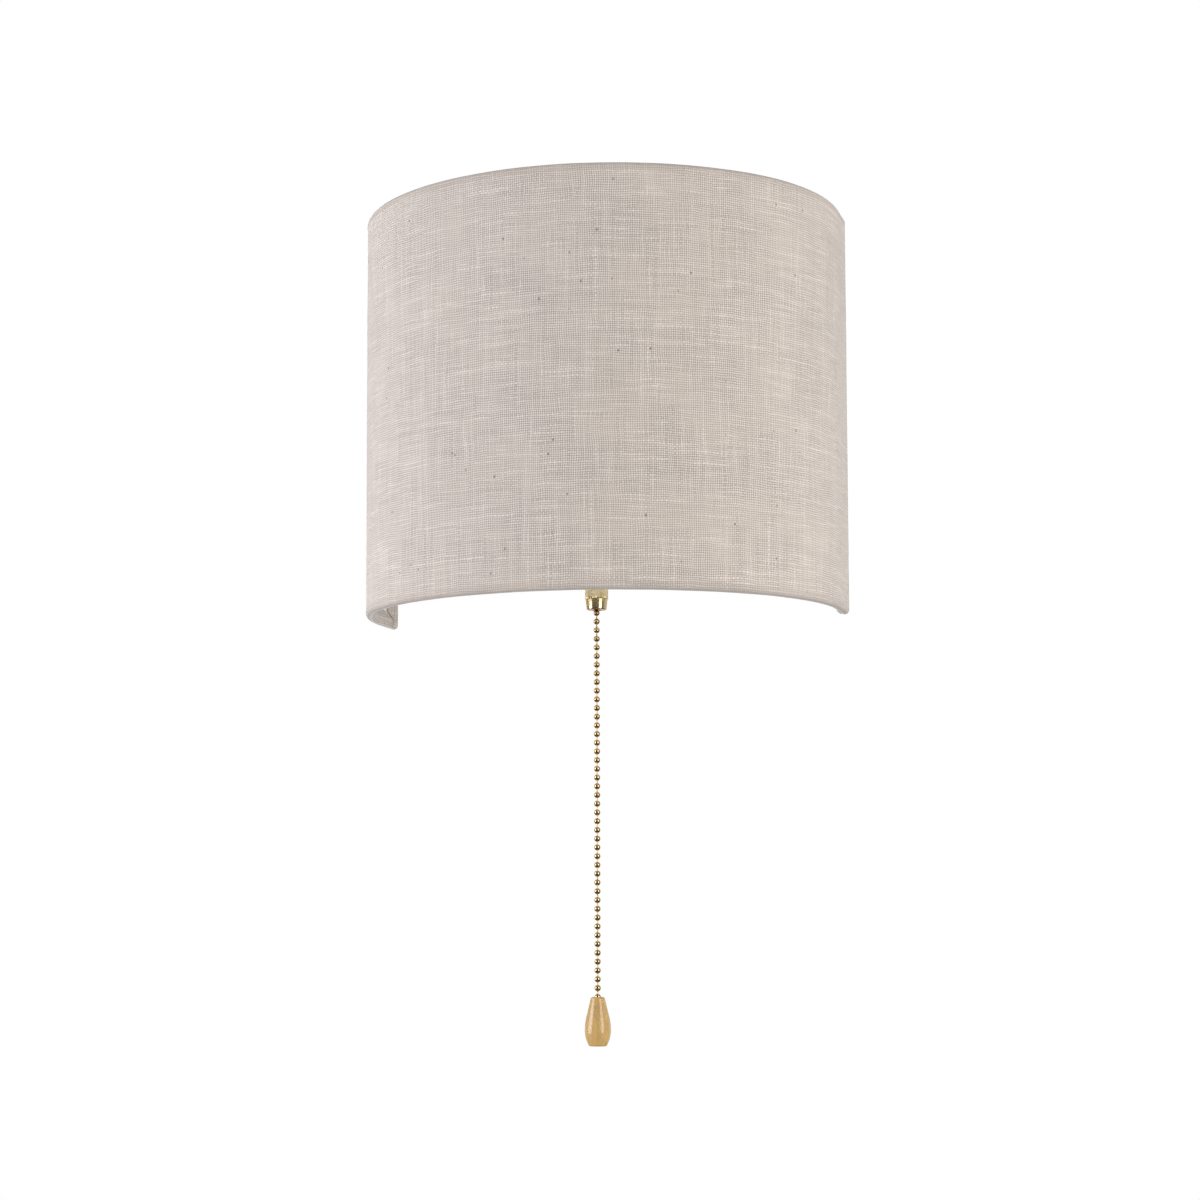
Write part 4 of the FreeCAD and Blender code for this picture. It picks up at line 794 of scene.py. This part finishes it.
def lay_linen():
    points, threads = [], []
    for along in np.linspace(ROLL_CENTRE, 2 * HALF_RUN - ROLL_CENTRE, CLOTH_STEPS + 1):
        for (inset, height), up in zip(linen_line, UP_THE_CLOTH):
            uneven = ripple(along, up, 0.16, 34) + ripple(along, up, 0.05, 5)
            fray = ripple(along, FRAY_LINE, 0.8, 4) if up in (0, CLOTH_UP) else 0
            rim = min(abs(height - SHADE_BOTTOM), abs(SHADE_TOP - height))
            outside = inset < ROLL_CENTRE
            if outside:
                inset += RIDGE_PROUD * past_ridge(rim, min(along, 2 * HALF_RUN - along))
            lift = fray if up < CLOTH_UP / 2 else -fray
            points.append((*bow(along, inset + uneven), height + lift + ripple(along, height, 0.1, 21)))
            # The third number is the distance from a rolled rim, where painted shade falls; hems and
            # turns get none.
            threads.append((along, up, rim if outside else HEM))
    return cloth_mesh("linen_shade", points, threads, len(linen_line))


linen_shade = lay_linen()
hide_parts("shade_cloth")
print(f"linen cut {2 * HALF_RUN:.0f} by {CLOTH_UP:.0f} mm, hems included")

# %% [markdown]
# ## Turned side edges
# At each end the linen turns round the upright wire and is glued down inside, over the ends of the two
# hems, with a small rounded corner where the rolls meet. The side turn is a sheet of its own here, so
# that its threads can lie flat over the hems.

# %% Turn the side edges
SIDE_HEM, HEM_STACK, STACK_EASE, HEM_WRAP = 8.0, 0.65, 2.5, 0.6
STACK_FADE = 1.5
SIDE_THREADS = 300  # keeps the turns' threads apart from the front's
CORNER_STEPS, SIDE_STEPS, ROLL_STEPS, HEM_STEPS = 8, 101, 12, 12


def turned_edge(side):
    """The roll round one upright wire, with its two corners and its hem inside."""
    edge = HALF_WIDTH - ROLL_CENTRE
    back = REAR - ROLL_CENTRE
    corner = np.linspace(0, math.pi / 2, CORNER_STEPS)[1:]
    levels = [(LOW_ROLL, turn) for turn in corner[::-1]]
    levels += [(height, 0.0) for height in np.linspace(LOW_ROLL, HIGH_ROLL, SIDE_STEPS)]
    levels += [(HIGH_ROLL, -turn) for turn in corner]
    points, threads = [], []
    for height, turn in levels:
        for round_wire in (math.pi * step / ROLL_STEPS for step in range(ROLL_STEPS + 1)):
            reach = ROLL_RADIUS * math.sin(round_wire)
            up = height - math.sin(turn) * reach
            across = edge + ROLL_RADIUS * math.cos(round_wire) + ripple(height, 40 * side, 0.1, 9)
            points.append((side * across, back + reach * math.cos(turn), up))
            threads.append((side * SIDE_THREADS + ROLL_RADIUS * round_wire, up, HEM))
        near = min(height - LOW_ROLL, HIGH_ROLL - height)
        over = 1 - share_of((near - HEM + ROLL_CENTRE) / STACK_FADE)
        for step in range(1, HEM_STEPS + 1):
            beyond = SIDE_HEM * step / HEM_STEPS
            stack = HEM_STACK * over * min(beyond / STACK_EASE, 1)
            lies = max(hem_inset(beyond), hem_inset(near) + stack)
            if turn:
                lies = ROLL_CENTRE + (ROLL_RADIUS + stack) * math.cos(HEM_WRAP * turn)
            fray = ripple(height, 70 * side, 0.7, 4) * (step == HEM_STEPS)
            up = height - (ROLL_RADIUS + stack) * math.sin(HEM_WRAP * turn)
            points.append((side * (HALF_WIDTH - lies), back - beyond + fray, up))
            threads.append((side * SIDE_THREADS + ROLL_RADIUS * math.pi + beyond, up, HEM))
    name = "linen_turn_left" if side < 0 else "linen_turn_right"
    return cloth_mesh(name, points, threads, ROLL_STEPS + HEM_STEPS + 1)


linen_turns = [turned_edge(side) for side in (-1, 1)]

# %% [markdown]
# ## Stiff sheet behind the linen
# The linen is laminated to a thin ivory sheet that gives the bow its even curve. It ends short of the
# wires, where the linen alone rolls over.

# %% Cut the stiff sheet
LINER_OUT, LINER_IN, LINER_SHORT, LINER_STEPS = 0.9, 1.25, 2.5, 240
low, high = SHADE_BOTTOM + LINER_SHORT, SHADE_TOP - LINER_SHORT
corners = ((LINER_OUT, low), (LINER_OUT, high), (LINER_IN, high), (LINER_IN, low))
points = [(*bow(along, inset), height)
          for along in np.linspace(LINER_SHORT, 2 * HALF_RUN - LINER_SHORT, LINER_STEPS + 1)
          for inset, height in corners]
faces = [(first + corner, first + after, first + 4 + after, first + 4 + corner)
         for first in range(0, 4 * LINER_STEPS, 4)
         for corner, after in ((0, 1), (1, 2), (2, 3), (3, 0))]
faces += [(0, 1, 2, 3), tuple(4 * LINER_STEPS + corner for corner in range(4))]
piece("liner_sheet", (points, faces), LINER, ["shade_liner"], "liner")

# %% [markdown]
# ## Pieces that keep their measured shape
# The plate, screws, nuts and leads already have the right shape in the frame. A copy of each gets its
# finish, and all but the wires and leads get the one thing that a measured solid lacks: edges broken as a
# press, a mould or a tumbler leaves them. Flat faces are first joined into single ones, so that the edge
# tool sees real edges.

# %% Copy a measured piece and ease its edges
SHARP_DEGREES, FLAT_DEGREES, JOINED_POINT, WIDE_EDGE = 38, 0.6, 0.002, 0.3


def eased_copy(node, finish, slot, edge):
    """The measured piece in its own finish, with softened edges where an edge radius is given."""
    draft = bmesh.new()
    draft.from_mesh(frame["nodes"][node].data)
    bmesh.ops.remove_doubles(draft, verts=draft.verts, dist=JOINED_POINT * MM)
    if edge:
        bmesh.ops.dissolve_limit(draft, angle_limit=math.radians(FLAT_DEGREES),
                                 verts=draft.verts, edges=draft.edges)
        sharp = [e for e in draft.edges
                 if len(e.link_faces) == 2 and e.calc_face_angle() > math.radians(SHARP_DEGREES)]
        bmesh.ops.bevel(draft, geom=sharp, offset=edge * MM, segments=3 if edge > WIDE_EDGE else 2,
                        profile=0.5, affect="EDGES", clamp_overlap=True)
    return finished(draft, f"{node}_finished", finish, [node], slot, SHARP_DEGREES)


# %% Finish the pressed, moulded and cast pieces
# A finish, its slot, and the radius of the broken edges of each piece that has it
MEASURED = (
    (PLATE_PAINT, "plate", {"wall_plate": 0.2}),
    (GROMMET_RUBBER, "grommet", {"cable_grommet": 0.3}),
    (BLOCK_PLASTIC, "terminal", {"terminal_block": 0.4}),
    (ZINC_STEEL, "steel", {"terminal_screws": 0.15, "block_screw": 0.3, "wheel_pin": 0.1,
                           "holder_nut": 0.25, "inner_nut": 0.25}),
    (EARTH_BRASS, "earth", {"earth_screw": 0.3, "earth_washer": 0.15}),
    (DRAWN_STEEL, "can", {"switch_can": 0.25}),
    (DARK_RESIN, "moulding", {"switch_cover": 0.25, "switch_insulator": 0.2, "ratchet_wheel": 0.1}),
    (POLISHED_BRASS, "brass", {"switch_tube": 0.1}),
    (CONTACT_BRASS, "brass", {"plunger": 0.15, "contact_strips": 0.05, "holder_screws": 0.15,
                              "centre_contact": 0.05}),
    (PORCELAIN, "holder", {"holder_cap": 0.6, "holder_body": 0.6}),
    (WIRE_COAT, "wire", {"top_wire": 0, "bottom_wire": 0, "frame_uprights": 0, "back_wire": 0,
                         "hanger_wire": 0}),
    (LEAD_SKIN, "lead", {"lead_line": 0, "lead_switched": 0, "lead_neutral": 0}),
)
for finish, slot, edges in MEASURED:
    for node, edge in edges.items():
        eased_copy(node, finish, slot, edge)

# %% [markdown]
# ## Spring that gives way
# The return spring gives way when the chain is pulled. Here its copy gets a steel finish and a mesh of
# its own.

# %% Copy the spring
spring = eased_copy("return_spring", ZINC_STEEL, "steel", 0)
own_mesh(spring)

# %% [markdown]
# ## Welds on the wire frame
# Where a cross wire meets an upright, a spot weld leaves a small flattened collar. From behind the shade
# those joints are in plain view.

# %% Weld collars
WELD_RADIUS, WELD_LENGTH, WELD_FULL = 1.75, 4.0, 0.6

half = WELD_LENGTH / 2
collar = [(WELD_RADIUS * math.cos(angle) ** WELD_FULL, half * math.sin(angle))
          for angle in np.linspace(-math.pi / 2, math.pi / 2, 9)[1:-1]]
collar = lathe([(0.0, -half), *collar, (0.0, half)], 24, closed=False)
low, high = box_mm("frame_uprights")
wire_x, wire_y = high.x - (high.y - low.y) / 2, (high.y + low.y) / 2
heights = [sum(corner.z for corner in box_mm(node)) / 2 for node in ("back_wire", "hanger_wire")]
places = [(side * wire_x, wire_y, height) for height in heights for side in (-1, 1)]
piece("frame_welds", many(collar, places), WIRE_COAT, (), "wire", body="shade")

# %% [markdown]
# ## Pull switch below the shade
# Two turned brass pieces show under the shade: a long nut with a straight knurl, and a polished bell that
# narrows a little towards the mouth for the chain. The knurl is cut by letting the radius dip once for
# each groove as the outline turns.

# %% Knurled nut, washer and bell
SWITCH_AXIS = axis_mm("switch_nut")
TUBE_HOLE = 4.8
GROOVES, GROOVE_DEPTH = 36, 0.3
NUT_EDGE, NUT_EDGE_RISE = 0.3, 0.35
nut_radius, nut_foot, nut_top = round_mm("switch_nut")


def ring_outline(node, inner, edge):
    """The outline of a plain measured ring with rounded edges."""
    outer, foot, top = round_mm(node)
    ring = [(inner, foot), (outer, foot), (outer, top), (inner, top)]
    return sum((rounded(ring[i - 1], ring[i], ring[(i + 1) % 4], edge) for i in range(4)), [])


def knurled(radius, height, angle):
    """Dip once for each groove, but not on the eased ends or in the bore."""
    share = share_of((radius - nut_radius + NUT_EDGE) / NUT_EDGE)
    return radius - GROOVE_DEPTH * share * (0.5 + 0.5 * math.cos(GROOVES * angle))


nut_outline = [(TUBE_HOLE, nut_foot), (nut_radius - NUT_EDGE, nut_foot)]
nut_outline += [(nut_radius, height)
                for height in np.linspace(nut_foot + NUT_EDGE_RISE, nut_top - NUT_EDGE_RISE, 12)]
nut_outline += [(nut_radius - NUT_EDGE, nut_top), (TUBE_HOLE, nut_top)]
turned("switch_nut", "knurled", nut_outline, NUT_BRASS, "brass", SWITCH_AXIS,
       steps=8 * GROOVES, crease=50, shape=knurled)
turned("switch_washer", "turned", ring_outline("switch_washer", TUBE_HOLE, 0.15), ZINC_STEEL, "steel",
       SWITCH_AXIS)

BELL_MOUTH, BELL_ROUND, BELL_TAPER, BELL_FLOOR = 2.3, 0.6, 0.25, 2.0
MOUTH_EDGE, RIM_BREAK = 0.35, 0.15


def bell_outline():
    """Rounded foot, a side that narrows downwards, a fine edge at the top, and the chain's mouth."""
    radius, foot, top = round_mm("switch_bell")
    wide, narrow = radius + BELL_TAPER, radius - BELL_TAPER
    outline = [(BELL_MOUTH, foot + MOUTH_EDGE), (BELL_MOUTH + MOUTH_EDGE, foot)]
    outline += curved((narrow - BELL_ROUND, foot), (narrow, foot + BELL_ROUND), BELL_ROUND, 10)
    outline += [(wide, top - RIM_BREAK), (wide - RIM_BREAK, top), (TUBE_HOLE, top)]
    return outline + [(TUBE_HOLE, foot + BELL_FLOOR), (BELL_MOUTH, foot + BELL_FLOOR)]


turned("switch_bell", "turned", bell_outline(), POLISHED_BRASS, "brass", SWITCH_AXIS,
       steps=144, crease=45)

# %% [markdown]
# ## Ball chain
# A ball chain is a row of hollow balls with a pin between each two, headed inside them. So each ball has
# a small dished hole at both poles, and each pin is thinnest in its middle. One ball and one pin are
# drawn, and the rest are copies a pitch apart. The first hanging ball is where the chain swings.

# %% Balls and pins
BEAD_RADIUS, first_foot, first_top = round_mm("first_bead")
FIRST_BEAD = (first_foot + first_top) / 2
INNER_BEADS, HANGING_BEADS, KNOB_BEADS = 3, 44, 2
_, row_foot, row_top = round_mm("chain_beads")
PITCH = (row_top - row_foot - 2 * BEAD_RADIUS) / (HANGING_BEADS - 2)
POLE_HOLE = 0.6
DISH = ((POLE_HOLE, 0.3), (0.14, 0.22), (0.04, 0.05))  # inwards from the hole's edge, and how deep
PIN_THIN, PIN_THICK = 0.34, 0.44
PIN_HELD, PIN_EDGE, PIN_NECK = 0.45, 0.05, 0.25


def bead_outline():
    """A ball with a dished hole at each pole."""
    rise = math.sqrt(BEAD_RADIUS**2 - POLE_HOLE**2)
    tilt = math.asin(POLE_HOLE / BEAD_RADIUS)
    ball = [(BEAD_RADIUS * math.cos(angle), BEAD_RADIUS * math.sin(angle))
            for angle in np.linspace(-math.pi / 2 + tilt, math.pi / 2 - tilt, 17)]
    dish = [(POLE_HOLE - inwards, rise - deep) for inwards, deep in DISH]
    return [(radius, -height) for radius, height in dish] + ball + dish[::-1]


def pin_outline():
    """The pin from inside the ball above, at height 0, to inside the one below."""
    inside = BEAD_RADIUS - PIN_HELD
    narrow = BEAD_RADIUS + PIN_NECK
    return [(0, -inside), (PIN_THICK, -inside - PIN_EDGE), (PIN_THIN, -narrow),
            (PIN_THIN, narrow - PITCH), (PIN_THICK, inside + PIN_EDGE - PITCH), (0, inside - PITCH)]


BEAD = lathe(bead_outline(), 28, closed=False)
PIN = lathe(pin_outline(), 14, closed=False)
# A piece, its shape, the number of its first place (0 is the first hanging ball) and how many it takes
CHAIN_PARTS = (
    ("pull_beads_inside", BEAD, -INNER_BEADS, INNER_BEADS, "inner_beads"),
    ("pull_pins_inside", PIN, -INNER_BEADS, INNER_BEADS - 1, "inner_links"),
    ("pull_pin_top", PIN, -1, 1, "top_link"),
    ("chain_bead_first", BEAD, 0, 1, "first_bead"),
    ("chain_pin_first", PIN, 0, 1, "first_link"),
    ("chain_beads_hanging", BEAD, 1, HANGING_BEADS - 1, "chain_beads"),
    ("chain_pins_hanging", PIN, 1, HANGING_BEADS + KNOB_BEADS - 2, "chain_links"),
    ("knob_beads_held", BEAD, HANGING_BEADS, KNOB_BEADS, "knob_beads"),
)
x, y, _ = SWITCH_AXIS
for name, shape, first, count, node in CHAIN_PARTS:
    places = [(x, y, FIRST_BEAD - PITCH * number) for number in range(first, first + count)]
    piece(name, many(shape, places), CHAIN_BRASS, [node], "brass", crease=50)
print(f"chain pitch {PITCH:.3f} mm, {HANGING_BEADS} hanging beads")

# %% [markdown]
# ## Turned wooden drop
# The drop has a flat top, a straight flare to the neck, and two long curves that meet at the belly.
# Sanding has rounded its top edge and its foot. The chain's last ball sits half sunk in the bore.

# %% Turn the drop
_, knob_foot, knob_top = round_mm("pull_knob")
KNOB_LENGTH = knob_top - knob_foot
TOP_RADIUS, FOOT_RADIUS = 3.5, 4.4
KNOB_NECK, KNOB_BELLY = (5.35, -8.0), (6.65, -16.8)
NECK_CURVE, FOOT_CURVE = 30.4, 15.3
BORE_DEPTH, BORE_CLEAR, BORE_EDGE = 6.0, 0.05, 0.25
TOP_SANDED = ((-0.85, 0), (-0.4, -0.1), (-0.08, -0.38), (0.13, -0.8))  # from the top's corner
FOOT_SANDED = ((0.42, 0.75), (0.1, 0.25), (-0.45, 0))  # from the foot's corner


def knob_outline():
    """From the bore's bottom over the top and the belly to the foot, with the top at height 0."""
    bore = BEAD_RADIUS + BORE_CLEAR
    outline = [(0, -BORE_DEPTH), (bore, -BORE_DEPTH), (bore, -BORE_EDGE), (bore + BORE_EDGE, 0)]
    outline += [(TOP_RADIUS + out, height) for out, height in TOP_SANDED]
    outline += curved(KNOB_NECK, KNOB_BELLY, NECK_CURVE, 12, side=-1)
    outline += curved(KNOB_BELLY, (FOOT_RADIUS, -KNOB_LENGTH), FOOT_CURVE, 14, side=-1)[1:-2]
    outline += [(FOOT_RADIUS + out, height - KNOB_LENGTH) for out, height in FOOT_SANDED]
    return outline + [(0, -KNOB_LENGTH)]


turned("pull_knob", "turned", knob_outline(), KNOB_WOOD, "knob", (*SWITCH_AXIS[:2], knob_top),
       crease=60, closed=False)

# %% [markdown]
# ## Bulb and screw shell
# The bulb is a globe of opal glass whose neck flows into a rolled aluminium cap. A rolled thread is a
# wave that climbs one pitch for each turn, so the radius depends on height and angle together. The
# lampholder's shell carries the same wave.

# %% Threads
HOLDER_AXIS = axis_mm("holder_body")
THREAD_PITCH, THREAD_FADE = 3.62, 2.2


def wave(height, angle, pitch):
    """0 on a thread's crest and 1 in its groove."""
    return 0.5 - 0.5 * math.cos(2 * math.pi * (height / pitch - angle / (2 * math.pi)))


def threaded(low, high, depth):
    """A rolled thread between two heights, which fades out at both ends."""
    def shape(radius, height, angle):
        share = share_of(min(height - low, high - height) / THREAD_FADE)
        return radius - depth * share * wave(height, angle, THREAD_PITCH)
    return shape


def tall(radius, low, high, step):
    """Points up a straight side, close enough together to carry a thread."""
    return [(radius, height) for height in np.linspace(low, high, max(2, round((high - low) / step)))]


# %% Cap, seal and tip of the bulb
CAP_MOUTH, CAP_WALL = 5.2, 1.4
cap_radius, foot, top = round_mm("bulb_cap")
cap_outline = [(CAP_MOUTH, foot + 0.1), (cap_radius - 2.0, foot), (cap_radius - 0.5, foot + 0.4)]
cap_outline += tall(cap_radius, foot + 1.2, top - 0.4, 0.3)
cap_outline += [(cap_radius - 0.3, top), (cap_radius - 1.2, top - 0.3)]
cap_outline += [(cap_radius - CAP_WALL, foot + 1.0), (CAP_MOUTH, foot + 0.6)]
turned("bulb_cap", "threaded", cap_outline, CAP_ALUMINIUM, "cap", HOLDER_AXIS,
       crease=50, shape=threaded(foot + 1.6, top - 2.2, 0.55))

tip_radius, foot, top = round_mm("bulb_tip")
tip_outline = [(0, foot), (1.6, foot + 0.03), (3.0, foot + 0.18), (tip_radius - 0.4, foot + 0.5)]
tip_outline += [(tip_radius, top - 0.15), (tip_radius - 0.1, top), (0, top)]
turned("bulb_tip", "soldered", tip_outline, ZINC_STEEL, "steel", HOLDER_AXIS,
       steps=48, crease=50, closed=False)

radius, foot, top = round_mm("bulb_seal")
seal_outline = [(0, foot), (tip_radius - 0.1, foot), (tip_radius + 0.7, foot + 0.25)]
seal_outline += [(radius - 1.4, top - 0.75), (radius - 0.3, top - 0.2), (radius, top), (0, top)]
turned("bulb_seal", "fused", seal_outline, SEAL_GLASS, "seal", HOLDER_AXIS, steps=72, closed=False)

# %% Opal glass
GLOBE_RADIUS, glass_foot, glass_top = round_mm("bulb_glass")
NECK_RADIUS = cap_radius - 0.3
NECK_SLOPE = math.radians(35)
NECK_FLARE = 9.0


def glass_outline():
    """Neck inside the cap, a soft flare, and the globe up to its pole."""
    middle = glass_top - GLOBE_RADIUS
    globe = [(GLOBE_RADIUS * math.cos(angle), middle + GLOBE_RADIUS * math.sin(angle))
             for angle in np.linspace(-NECK_SLOPE, math.pi / 2, 40)]
    reach, height = globe[0]
    bend = (NECK_RADIUS, height - (reach - NECK_RADIUS) / math.tan(NECK_SLOPE))
    neck = [(0, glass_foot + 0.6), (NECK_RADIUS - 0.6, glass_foot + 0.6), (NECK_RADIUS, glass_foot + 1.2)]
    return neck + rounded(neck[-1], bend, globe[0], NECK_FLARE, 12) + globe


turned("bulb_glass", "opal", glass_outline(), OPAL_GLASS, "opal", HOLDER_AXIS,
       steps=128, crease=60, closed=False)

# %% Threaded shell and tube of the lampholder
SHELL_WALL = 0.3
radius, foot, top = round_mm("screw_shell")
shell_outline = tall(radius, foot, top, 0.35)
shell_outline += [(reach - SHELL_WALL, height) for reach, height in reversed(shell_outline)]
turned("screw_shell", "rolled", shell_outline, CONTACT_BRASS, "brass", HOLDER_AXIS,
       crease=50, shape=threaded(foot + 1, top - 1.5, 0.24))

TUBE_BORE, TUBE_PITCH, TUBE_DEPTH = 3.4, 1.0, 0.3
tube_radius, foot, top = round_mm("holder_tube")
tube_outline = [(TUBE_BORE, foot + 0.3), (TUBE_BORE + 0.3, foot), (tube_radius - 0.5, foot)]
tube_outline += tall(tube_radius, foot + 0.4, top - 0.4, 0.14)
tube_outline += [(tube_radius - 0.5, top), (TUBE_BORE, top)]


def fine_thread(radius, height, angle):
    """A thread on the tube's outside only."""
    return radius - TUBE_DEPTH * wave(height, angle, TUBE_PITCH) * (radius > tube_radius - 0.1)


turned("holder_tube", "threaded", tube_outline, ZINC_STEEL, "steel", HOLDER_AXIS,
       steps=72, crease=60, shape=fine_thread)
turned("holder_washer", "turned", ring_outline("holder_washer", tube_radius + 0.05, 0.2), ZINC_STEEL,
       "steel", HOLDER_AXIS, steps=72)

# %% [markdown]
# ## Close
# The last cell prints the measured lamp's box and the finished one's.

# %% Measure and finish
finished_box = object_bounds()
sizes = {"cad": [list(corner) for corner in cad_box], "visual": [list(corner) for corner in finished_box]}
for label, corners in sizes.items():
    print(label, [round((high - low) / MM, 1) for low, high in zip(*corners)], "mm")
